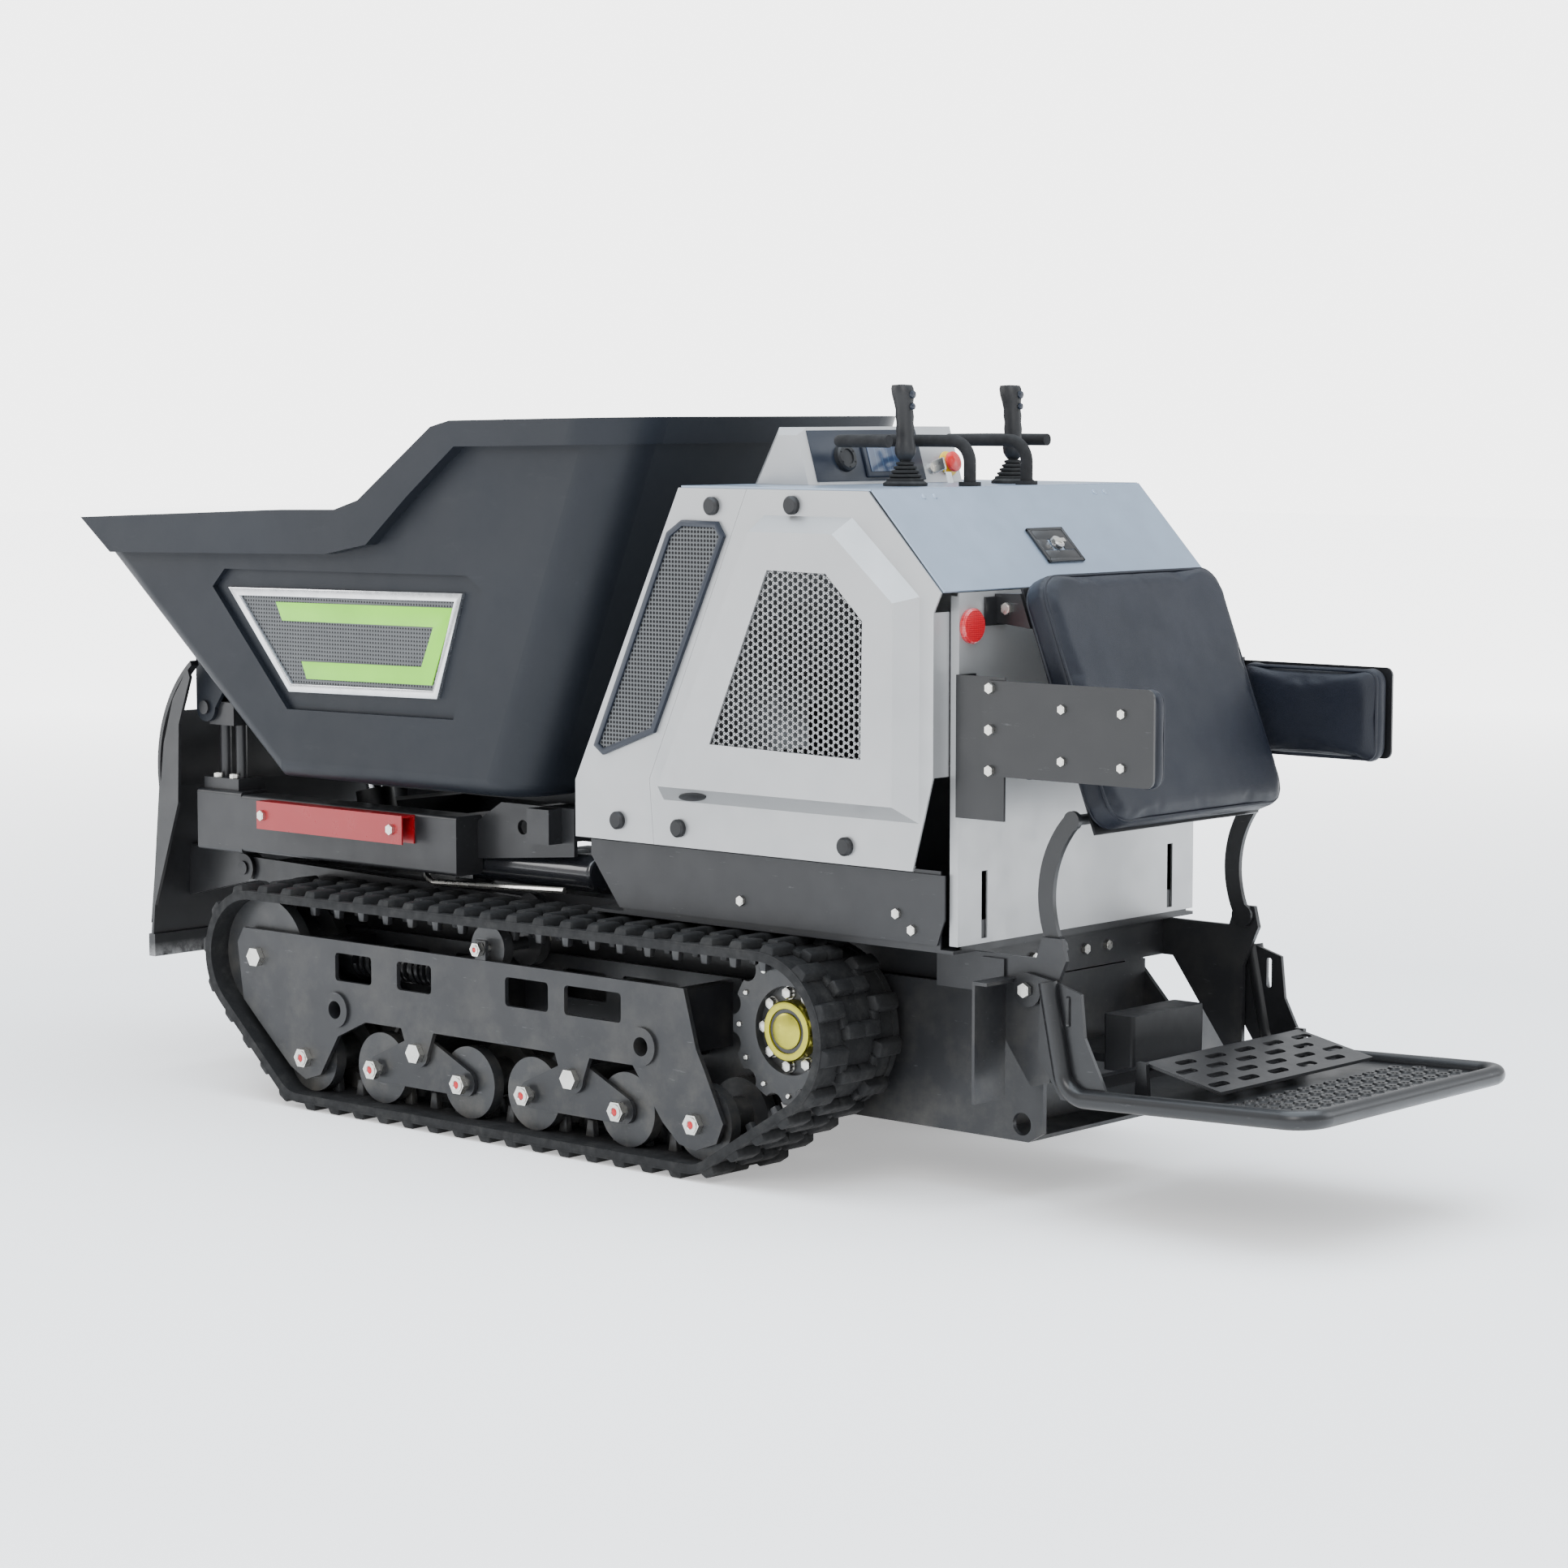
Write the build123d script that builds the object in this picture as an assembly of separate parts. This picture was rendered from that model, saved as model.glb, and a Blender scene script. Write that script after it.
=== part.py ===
from build123d import *
import math
import os

# Stand-on electric tracked dumper with a tipping skip and a front loading shovel.
# Millimetres. +X is forward, +Y is the operator's left, +Z is up.
# The exported pieces have their origin on the ground, midway along the machine and on its centre plane.

# ---------------------------------------------------------------- shared clearances
FIT = 0.05            # radial running clearance of a pin in its bore
GAP = 0.3             # gap between separate pieces that face each other
SEAM = 0.5            # gap between neighbouring sheet panels

# ---------------------------------------------------------------- tracks
TRACK_GAUGE = 620.0   # between the two belt centre planes
BELT_WIDTH = 180.0
BELT_PITCH = 60.0     # nominal spacing of lugs and guide pegs
BELT_CARCASS = 12.0
LUG_HEIGHT = 14.0
PEG_HEIGHT = 27.0
PEG_WIDTH = 14.0
PEG_INSET = 22.0      # peg row centre from the belt centre plane
SPROCKET_TEETH = 12
SPROCKET_X, SPROCKET_Z = -416.0, 238.0
IDLER_X, IDLER_Z, IDLER_R = 741.5, 245.0, 99.0
ROLLER_R = 59.0
FRONT_ROLLER_X = 622.5
REAR_ROLLER_X = -274.5
BOGIE_XS = (346.5, -9.5)
BOGIE_HALF_SPAN = 103.5
CARRIER_X, CARRIER_R = 197.5, 38.0
WHEEL_GROOVE = 62.0   # free width between the two rims of each roller
WHEEL_WIDTH = 104.0
AXLE_R = 10.0
PLATE_T = 8.0
FRAME_HALF = 70.0     # outer face of a track frame plate from the belt centre plane
FRAME_TOP = 292.0
AXLE_TUBE_R = 30.0
AXLE_TUBES = ((542.5, 175.0), (-163.5, 193.0))
HUB_RECESS_R = 68.0
HUB_BOLTS = 9
HUB_BOLT_CIRCLE = 57.0
HUB_CAP_R = 44.0
BOGIE_Z = 124.0
BOGIE_ARM_T = 8.0
CARRIER_AXLE_R = 7.0
FRAME_OUTLINE = (
    (778, FRAME_TOP), (794, 266), (780, 169), (738, 132), (660, 66), (622.5, 48), (585, 60), (540, 130),
    (472, 161), (-142, 161), (-205, 80), (-240, 50), (-274.5, 44), (-318, 60), (-332, 92),
    (-292, 172), (-276, 201), (-250, FRAME_TOP),
)
FRAME_WINDOWS = ((456, 545), (312, 394), (43, 140), (-117, 7))
WINDOW_LOW, WINDOW_HIGH = 224.0, 271.0
FRAME_SPACERS = ((228, 288), (-232, -206), (590, 628))
SPRING_COILS = 20
SPRING_PITCH = 13.0

SPROCKET_R = SPROCKET_TEETH * BELT_PITCH / (2 * math.pi)
SPROCKET_HALF = PEG_INSET - PEG_WIDTH / 2 - 1
ROLLER_Z = LUG_HEIGHT + BELT_CARCASS + ROLLER_R + GAP
TRACK_Y = TRACK_GAUGE / 2
TRACK_IN = TRACK_Y - FRAME_HALF
TRACK_OUT = TRACK_Y + FRAME_HALF

# ---------------------------------------------------------------- chassis
CHASSIS_HALF = 200.0
CHASSIS_FRONT, CHASSIS_REAR = 780.0, -805.0
CHASSIS_LOW, CHASSIS_HIGH = 96.0, 320.0
TIE_HOLE_R = 17.0
TIE_X, TIE_Z = -765.5, 122.0
RAIL_TOP = 380.0
RAIL_FRONT = 870.0
TRAY_HALF = 299.0
TRAY_TOP = RAIL_TOP + 5.0
BRACKET_Y = 238.0     # inner face of the rear bracket plates
BRACKET_T = 8.0
PIN_R = 12.0
EAR_T = 8.0
FOOT_WIDTH = 40.0     # width of a cylinder's foot eye
BEAM_IN, BEAM_OUT = 220.0, 280.0
BEAM_LOW, BEAM_HIGH = 400.0, 507.0
BEAM_REAR, BEAM_SPLICE, BEAM_FRONT = 356.0, 900.0, 1016.0
TOWER_HALF = 28.0

# ---------------------------------------------------------------- body
BODY_HALF = 293.0
BODY_REAR = -717.5
BODY_LOW = 390.0
COVER_LOW = 501.0
DECK_TOP = 1056.0
DECK_REAR = -577.5
DECK_FRONT = -195.5
LID_LOW = 911.0
SHEET = 3.0
COVER_FACE = 360.0    # outer face of the raised side cover
COVER_BASE = 330.0
PANEL_TOP = DECK_TOP - SHEET - GAP
PILLAR = ((29, COVER_LOW), (29, 591), (DECK_FRONT, PANEL_TOP), (-336, PANEL_TOP), (-132, 602), (-141, COVER_LOW))
MESH = ((-403, 934), (-519, 932), (-590, 865), (-587, 662), (-286, 667))
LID_HALF = COVER_BASE - SHEET - SEAM
LID_TOP_EDGE = (DECK_REAR - 3, DECK_TOP - 1)
LID_LOW_EDGE = (BODY_REAR, LID_LOW)
LATCH_S = 122.0       # latch centre, down the lid from its upper edge
LATCH_R = 9.0

# ---------------------------------------------------------------- skip
SKIP_HALF = 335.0
RIM_HALF = 360.0
SKIP_WALL = 6.0
SKIP_FLOOR = 549.0
SKIP_RIB = 22.0
SKIP_REAR_X, SKIP_TOP_X = 150.0, -95.0
SKIP_KNEE = (736.0, SKIP_FLOOR)
SKIP_LIP = (1186.0, 916.0)
SKIP_TIP_X, SKIP_RIM = 1229.0, 1160.0
SKIP_CORNER, SKIP_BEND = 80.0, 30.0
POCKET = ((900, 868), (868, 899), (269, 905), (233, 883), (302, 670), (710, 666))
POCKET_DEPTH = 10.0
HINGE_X, HINGE_Z = 1000.0, 650.0
HINGE_Y = 235.0
HINGE_PIN_R = 12.0

# ---------------------------------------------------------------- tipping cylinder
TIP_Y = 70.0
TIP_FOOT = (720.0, 245.0)
TIP_EYE = (800.0, 565.0)
TIP_EYE_WIDTH = 30.0

# ---------------------------------------------------------------- loading shovel
ARM_PIVOT = (250.0, 355.0)
SHOVEL_PIVOT = (960.0, 365.0)
ARM_Y = 210.0
ARM_T = 12.0
SHOVEL_HALF = 300.0
SHOVEL_WALL = 6.0
LIFT_Y = -70.0
LIFT_FOOT = (600.0, 150.0)
LIFT_EYE = (885.0, 322.0)
TORSION_X = 905.0
SHOVEL_FACE = ((1129, 200), (1097, 505), (1088, 584), (1063, 670), (1006, 733))

# ---------------------------------------------------------------- operator station
HIP_Y = 300.0
PAD_HALF = 230.0
ARM_FOOT = (-854.0, 397.0)
HIP_FRONT, HIP_REAR = -812.0, -1078.0
PAD_T0 = (-760.0, 925.0)
PAD_DOWN = (-0.363, -0.932)
PAD_LENGTH = 395.0
PAD_THICK = 52.0
STICK_X, STICK_Y = -480.5, 131.5
STICK_PIVOT_Z = 1042.0
STICK_HOLE_R = 22.0
CONSOLE_HALF = 185.0
CONSOLE_TOP = 1144.0
CONSOLE_FACE = ((-318.0, CONSOLE_TOP), (-345.0, DECK_TOP + GAP))
SCREEN_Y, SOCKET_Y, KEY_Y, STOP_Y = 12.0, 105.0, -105.0, -147.0
SCREEN_Z, KEY_Z, STOP_Z = 1096.0, 1079.0, 1085.0
HAND_Z = 1124.0
FOAM_R = 9.5
PLATFORM_PIVOT = (-816.5, 334.0)
PLATFORM_PIN_R = 10.0
PLATFORM_SIDE = 250.0
PLATFORM_T = 6.0
PEDAL_X, PEDAL_Z = -985.0, 232.0
PEDAL_HALF = 196.0
PLATFORM_REAR = -1308.0
PLATFORM_Z = 190.0
PLATFORM_HALF = 260.0
TUBE_R = 14.0

# Everything above is drawn from a working datum; this moves it to the middle of the overall length.
TO_MIDDLE = -(SKIP_TIP_X + PLATFORM_REAR - TUBE_R) / 2

nodes = {}


def add(name, *solids):
    """Collect the solids of one named piece."""
    flat = []
    for item in solids:
        flat += list(item.solids())
    nodes.setdefault(name, []).extend(flat)


def prism_y(sketch, y0, y1):
    """Sketch drawn in X and Z, extruded from y0 to y1."""
    return extrude(Plane.XZ.offset(-y1) * sketch, amount=y1 - y0, dir=(0, -1, 0))


def prism_z(sketch, z0, z1):
    return extrude(Plane.XY.offset(z0) * sketch, amount=z1 - z0, dir=(0, 0, 1))


def prism_x(sketch, x0, x1):
    """Sketch drawn in Y and Z, extruded from x0 to x1."""
    return extrude(Plane.YZ.offset(x0) * sketch, amount=x1 - x0, dir=(1, 0, 0))


def poly(*points):
    return Polygon(*points, align=None)


def disc(x, z, r):
    return Pos(x, z) * Circle(r)


def rod_y(x, z, r, y0, y1):
    return prism_y(disc(x, z, r), y0, y1)


def box(x0, x1, y0, y1, z0, z1):
    return Pos((x0 + x1) / 2, (y0 + y1) / 2, (z0 + z1) / 2) * Box(x1 - x0, y1 - y0, z1 - z0)


def twin(shape):
    """The shape and its mirror image on the other side of the machine."""
    return [shape, mirror(shape, Plane.XZ)]


def other_side(shape):
    return mirror(shape, Plane.XZ)


def tube(points, radius, bend, closed=False):
    """Round bar along straight runs joined by tangent arcs."""
    path = FilletPolyline(*points, radius=bend, close=closed)
    return sweep(Plane(path @ 0, z_dir=path % 0) * Circle(radius), path)


def slope_z(x):
    """Height of the skip's sloping front underside at x."""
    (x0, z0), (x1, z1) = SKIP_KNEE, SKIP_LIP
    return z0 + (x - x0) * (z1 - z0) / (x1 - x0)


# ================================================================ tracks

def belt_loop(offset):
    """Tangent line and arc data of the belt's closed path, offset outward."""
    bottom = ROLLER_R + GAP
    wheels = [
        (REAR_ROLLER_X, ROLLER_Z, bottom),
        (FRONT_ROLLER_X, ROLLER_Z, bottom),
        (IDLER_X, IDLER_Z, IDLER_R + GAP),
        (SPROCKET_X, SPROCKET_Z, SPROCKET_R + GAP),
    ]
    wheels = [(x, z, r + offset) for x, z, r in wheels]
    leaves = []
    for first, second in zip(wheels, wheels[1:] + wheels[:1]):
        dx, dz = second[0] - first[0], second[1] - first[1]
        length = math.hypot(dx, dz)
        ux, uz = dx / length, dz / length
        sine = (first[2] - second[2]) / length
        cosine = math.sqrt(1 - sine * sine)
        leaves.append((uz * cosine + ux * sine, -ux * cosine + uz * sine))
    return wheels, leaves


def belt_sketch(offset):
    """Region enclosed by the belt's path at this offset."""
    wheels, leaves = belt_loop(offset)
    edges = []
    for i, (x, z, r) in enumerate(wheels):
        into, out = leaves[i - 1], leaves[i]
        mid = (into[0] + out[0], into[1] + out[1])
        size = math.hypot(*mid)
        mid = (mid[0] / size, mid[1] / size)
        start, middle, end = [(x + r * m[0], z + r * m[1]) for m in (into, mid, out)]
        edges.append(ThreePointArc(start, middle, end))
        nx, nz, nr = wheels[(i + 1) % len(wheels)]
        edges.append(Line(end, (nx + nr * out[0], nz + nr * out[1])))
    return make_face(Wire(edges))


def belt_stations():
    """Evenly spaced places on the belt's inner path: (x, z, outward x, outward z)."""
    wheels, leaves = belt_loop(0)
    runs = []
    for i, (x, z, r) in enumerate(wheels):
        into, out = leaves[i - 1], leaves[i]
        a0 = math.atan2(into[1], into[0])
        turn = (math.atan2(out[1], out[0]) - a0) % (2 * math.pi)
        runs.append(("arc", r * turn, (x, z, r, a0)))
        nx, nz, nr = wheels[(i + 1) % len(wheels)]
        start = (x + r * out[0], z + r * out[1])
        end = (nx + nr * out[0], nz + nr * out[1])
        runs.append(("line", math.dist(start, end), (start, end, out)))
    total = sum(run[1] for run in runs)
    count = round(total / BELT_PITCH)
    stations = []
    for k in range(count):
        s = k * total / count
        for kind, length, data in runs:
            if s <= length:
                break
            s -= length
        if kind == "arc":
            x, z, r, a0 = data
            angle = a0 + s / r
            stations.append((x + r * math.cos(angle), z + r * math.sin(angle), math.cos(angle), math.sin(angle)))
        else:
            (x0, z0), (x1, z1), out = data
            t = s / length
            stations.append((x0 + t * (x1 - x0), z0 + t * (z1 - z0), out[0], out[1]))
    return stations


def belt_block(station, low, high, foot, head, y0, y1):
    """Trapezoid block on the belt between two heights measured outward from its inner path."""
    x, z, nx, nz = station
    tx, tz = -nz, nx
    corners = [(-foot, low), (foot, low), (head, high), (-head, high)]
    return prism_y(poly(*[(x + a * tx + h * nx, z + a * tz + h * nz) for a, h in corners]), y0, y1)


def make_belt():
    """Rubber belt with outer lugs and two rows of inner guide pegs."""
    y0, y1 = TRACK_Y - BELT_WIDTH / 2, TRACK_Y + BELT_WIDTH / 2
    belt = prism_y(belt_sketch(BELT_CARCASS) - belt_sketch(0), y0, y1)
    blocks = []
    for station in belt_stations():
        blocks.append(belt_block(station, BELT_CARCASS - 2, BELT_CARCASS + LUG_HEIGHT, 17, 12, y0, y1))
        for side in (-1, 1):
            centre = TRACK_Y + side * PEG_INSET
            low, high = centre - PEG_WIDTH / 2, centre + PEG_WIDTH / 2
            blocks.append(belt_block(station, 2, -PEG_HEIGHT, 13, 8, low, high))
    return belt.fuse(*blocks)


def make_wheel(x, z, radius, groove_r, bore_r):
    """Grooved wheel: two rims either side of a groove for the guide pegs."""
    y0, y1 = TRACK_Y - WHEEL_WIDTH / 2, TRACK_Y + WHEEL_WIDTH / 2
    wheel = rod_y(x, z, groove_r, y0, y1)
    wheel += rod_y(x, z, radius, y0, TRACK_Y - WHEEL_GROOVE / 2)
    wheel += rod_y(x, z, radius, TRACK_Y + WHEEL_GROOVE / 2, y1)
    return wheel - rod_y(x, z, bore_r, y0, y1)


def make_sprocket():
    """Twelve-tooth drive sprocket on its hub flange."""
    ring = rod_y(SPROCKET_X, SPROCKET_Z, SPROCKET_R, TRACK_Y - SPROCKET_HALF, TRACK_Y + SPROCKET_HALF)
    for k in range(SPROCKET_TEETH):
        angle = 2 * math.pi * (k + 0.5) / SPROCKET_TEETH
        x = SPROCKET_X + (SPROCKET_R + 6) * math.cos(angle)
        z = SPROCKET_Z + (SPROCKET_R + 6) * math.sin(angle)
        ring -= rod_y(x, z, 18, TRACK_Y - SPROCKET_HALF - 1, TRACK_Y + SPROCKET_HALF + 1)
    ring -= rod_y(SPROCKET_X, SPROCKET_Z, HUB_RECESS_R, TRACK_Y, TRACK_Y + SPROCKET_HALF + 1)
    bolts = []
    for k in range(HUB_BOLTS):
        angle = 2 * math.pi * k / HUB_BOLTS
        x = SPROCKET_X + HUB_BOLT_CIRCLE * math.cos(angle)
        z = SPROCKET_Z + HUB_BOLT_CIRCLE * math.sin(angle)
        bolts.append(prism_y(Pos(x, z) * RegularPolygon(9, 6), TRACK_Y, TRACK_Y + 7))
    cap = rod_y(SPROCKET_X, SPROCKET_Z, HUB_CAP_R, TRACK_Y, TRACK_Y + 18)
    cap = chamfer(cap.edges().sort_by(Axis.Y)[-1], 4)
    return ring, bolts, cap


def make_track_frame():
    """Two plates joined by cross blocks, with windows, axle holes and bogie lugs."""
    frame = None
    for y0 in (TRACK_IN, TRACK_OUT - PLATE_T):
        plate = poly(*FRAME_OUTLINE)
        for x in BOGIE_XS:
            plate += disc(x, BOGIE_Z, 24) + poly((x - 40, 165), (x - 24, BOGIE_Z), (x + 24, BOGIE_Z), (x + 40, 165))
        for x0, x1 in FRAME_WINDOWS:
            middle = ((x0 + x1) / 2, (WINDOW_LOW + WINDOW_HIGH) / 2)
            plate -= Pos(*middle) * RectangleRounded(x1 - x0, WINDOW_HIGH - WINDOW_LOW, 7)
        for x, z in AXLE_TUBES:
            plate -= disc(x, z, AXLE_TUBE_R + FIT)
        for x in (FRONT_ROLLER_X, REAR_ROLLER_X):
            plate -= disc(x, ROLLER_Z, AXLE_R + FIT)
        for x in BOGIE_XS:
            plate -= disc(x, BOGIE_Z, AXLE_R + FIT)
        plate -= disc(IDLER_X, IDLER_Z, AXLE_R + FIT)
        solid = prism_y(plate, y0, y0 + PLATE_T)
        frame = solid if frame is None else frame + solid
    for x0, x1 in FRAME_SPACERS:
        frame += box(x0, x1, TRACK_IN + 1, TRACK_OUT - 1, 185, 285)
    frame += box(CARRIER_X - 12, CARRIER_X + 12, TRACK_IN + 1, TRACK_IN + PLATE_T, 270, CARRIER_Z + 14)
    frame += box(CARRIER_X - 12, CARRIER_X + 12, TRACK_OUT - PLATE_T, TRACK_OUT - 1, 270, CARRIER_Z + 14)
    frame -= rod_y(CARRIER_X, CARRIER_Z, CARRIER_AXLE_R + FIT, TRACK_IN - 1, TRACK_OUT + 1)
    return frame


def top_run_z(x):
    """Height of the belt's inner face on its upper run at x."""
    wheels, leaves = belt_loop(0)
    (x1, z1, r1), (x0, z0, r0) = wheels[2], wheels[3]
    out = leaves[2]
    ax, az = x0 + r0 * out[0], z0 + r0 * out[1]
    bx, bz = x1 + r1 * out[0], z1 + r1 * out[1]
    return az + (x - ax) * (bz - az) / (bx - ax)


CARRIER_Z = top_run_z(CARRIER_X) - CARRIER_R - 2 * GAP


def make_bogie(x):
    """Rocking beam pair that carries two bottom rollers."""
    arms = None
    for y0 in (TRACK_IN + PLATE_T + GAP, TRACK_OUT - PLATE_T - GAP - BOGIE_ARM_T):
        arm = poly((x - BOGIE_HALF_SPAN, ROLLER_Z - 22), (x + BOGIE_HALF_SPAN, ROLLER_Z - 22),
                   (x + BOGIE_HALF_SPAN + 14, ROLLER_Z + 18), (x + 24, BOGIE_Z + 22), (x - 24, BOGIE_Z + 22),
                   (x - BOGIE_HALF_SPAN - 14, ROLLER_Z + 18))
        for end in (-BOGIE_HALF_SPAN, BOGIE_HALF_SPAN):
            arm += disc(x + end, ROLLER_Z, 22)
            arm -= disc(x + end, ROLLER_Z, AXLE_R + FIT)
        arm -= disc(x, BOGIE_Z, AXLE_R + FIT)
        solid = prism_y(arm, y0, y0 + BOGIE_ARM_T)
        arms = solid if arms is None else arms + solid
    sleeve = rod_y(x, BOGIE_Z, 16, TRACK_IN + PLATE_T + GAP, TRACK_OUT - PLATE_T - GAP)
    sleeve -= rod_y(x, BOGIE_Z, AXLE_R + FIT, TRACK_IN, TRACK_OUT)
    return arms + sleeve


def make_axle(x, z, radius, reach):
    """Axle bolt through the frame with a hex head and a nut."""
    y0, y1 = TRACK_Y - reach - GAP, TRACK_Y + reach + GAP
    axle = rod_y(x, z, radius, y0 - 9, y1 + 9)
    head = prism_y(Pos(x, z) * RegularPolygon(radius * 1.7, 6), y1, y1 + 11)
    nut = prism_y(Pos(x, z) * RegularPolygon(radius * 1.7, 6), y0 - 11, y0)
    return axle + head + nut


def both_sides(name, *solids):
    add(name + "_left", *solids)
    add(name + "_right", *[other_side(solid) for solid in solids])


both_sides("track_belt", make_belt())
both_sides("track_frame", make_track_frame())
roller_xs = [FRONT_ROLLER_X]
for pivot in BOGIE_XS:
    roller_xs += [pivot + BOGIE_HALF_SPAN, pivot - BOGIE_HALF_SPAN]
roller_xs.append(REAR_ROLLER_X)
for number, x in enumerate(roller_xs, 1):
    both_sides(f"track_roller_{number}", make_wheel(x, ROLLER_Z, ROLLER_R, 30, AXLE_R + FIT))
both_sides("front_idler", make_wheel(IDLER_X, IDLER_Z, IDLER_R, 68, AXLE_R + FIT))
both_sides("carrier_roller", make_wheel(CARRIER_X, CARRIER_Z, CARRIER_R, 10.5, CARRIER_AXLE_R + FIT))
ring, hub_bolts, hub_cap = make_sprocket()
both_sides("drive_sprocket", ring, *hub_bolts, hub_cap)
bogies = [make_bogie(x) for x in BOGIE_XS]
axles = [make_axle(x, ROLLER_Z, AXLE_R, FRAME_HALF) for x in roller_xs]
axles += [make_axle(x, BOGIE_Z, AXLE_R, FRAME_HALF) for x in BOGIE_XS]
axles.append(make_axle(IDLER_X, IDLER_Z, AXLE_R, FRAME_HALF))
axles.append(make_axle(CARRIER_X, CARRIER_Z, CARRIER_AXLE_R, FRAME_HALF))
for shape in bogies:
    add("bogie_beams", *twin(shape))


# ================================================================ chassis

def make_ears(foot, y, width, base_z):
    """Two ears and their pin, standing on a plate at base_z, for a cylinder's foot eye."""
    x, z = foot
    ears = None
    for side in (-1, 1):
        y0 = y + side * (width / 2 + GAP + EAR_T / 2) - EAR_T / 2
        shape = disc(x, z, 22) + poly((x - 30, base_z - 2), (x + 30, base_z - 2), (x + 21, z), (x - 21, z))
        ear = prism_y(shape, y0, y0 + EAR_T)
        ears = ear if ears is None else ears + ear
    reach = width / 2 + GAP + EAR_T + 4
    return ears + rod_y(x, z, PIN_R, y - reach, y + reach)


def make_chassis():
    """Welded chassis: side plates, floor, bulkheads, rails, axle tubes, tray and rear brackets."""
    px, pz = ARM_PIVOT
    side = poly((CHASSIS_REAR, 112), (-778, CHASSIS_LOW), (CHASSIS_FRONT, CHASSIS_LOW),
                (CHASSIS_FRONT, CHASSIS_HIGH), (px + 45, CHASSIS_HIGH), (px + 22, pz + 12), (px, pz + 24),
                (px - 22, pz + 12), (px - 45, CHASSIS_HIGH), (-681, CHASSIS_HIGH), (CHASSIS_REAR, 190))
    side -= disc(TIE_X, TIE_Z, TIE_HOLE_R)
    inner = CHASSIS_HALF - PLATE_T
    plate = prism_y(side, inner, CHASSIS_HALF)
    rail = box(-700, RAIL_FRONT, 140, 180, CHASSIS_HIGH - 1, RAIL_TOP)
    rail -= box(-701, RAIL_FRONT + 1, 144, 176, CHASSIS_HIGH + 3, RAIL_TOP - 4)
    pin = rod_y(px, pz, PIN_R, inner, ARM_Y + ARM_T / 2 + 2)
    bracket = poly((-640, 322), (-640, RAIL_TOP), (-826, RAIL_TOP), (-836, 412), (-872, 412), (-880, RAIL_TOP),
                   (-852, 318), (-852, 200), (-818, 190), (-720, 322))
    ear = prism_y(bracket, BRACKET_Y, BRACKET_Y + BRACKET_T)
    post = rod_y(*PLATFORM_PIVOT, PLATFORM_PIN_R, BRACKET_Y, PLATFORM_SIDE + PLATFORM_T + 2)
    frame = box(-778, CHASSIS_FRONT, -inner - 1, inner + 1, CHASSIS_LOW, CHASSIS_LOW + 6)
    for piece in (plate, rail, pin, ear, post):
        frame += piece
        frame += other_side(piece)
    for x in (-700, -20):
        frame += box(x, x + PLATE_T, -inner - 1, inner + 1, CHASSIS_LOW + 4, CHASSIS_HIGH)
    front = box(CHASSIS_FRONT - PLATE_T, CHASSIS_FRONT, -inner - 1, inner + 1, CHASSIS_LOW + 4, CHASSIS_HIGH)
    frame += front - box(CHASSIS_FRONT - 20, CHASSIS_FRONT + 5, LIFT_Y - 40, LIFT_Y + 40, 118, 308)
    frame += box(-700, -640, -BRACKET_Y - 4, BRACKET_Y + 4, 322, RAIL_TOP)
    panel_seat = BODY_REAR + SHEET + GAP
    frame += box(panel_seat, 24, -TRAY_HALF, TRAY_HALF, RAIL_TOP, TRAY_TOP)
    frame += box(panel_seat, panel_seat + SHEET, -TRAY_HALF + 19, TRAY_HALF - 19, RAIL_TOP + 1, 425)
    for piece in twin(box(-690, -45, TRAY_HALF - SHEET, TRAY_HALF, RAIL_TOP + 1, COVER_LOW - GAP)):
        frame += piece
    for x, z in AXLE_TUBES:
        frame += rod_y(x, z, AXLE_TUBE_R, -TRACK_OUT - 5, TRACK_OUT + 5)
        frame -= rod_y(x, z, AXLE_TUBE_R / 2, -TRACK_OUT - 6, TRACK_OUT + 6)
    frame += make_ears(TIP_FOOT, TIP_Y, FOOT_WIDTH, CHASSIS_LOW + 6)
    frame += make_ears(LIFT_FOOT, LIFT_Y, FOOT_WIDTH, CHASSIS_LOW + 6)
    return frame


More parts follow.
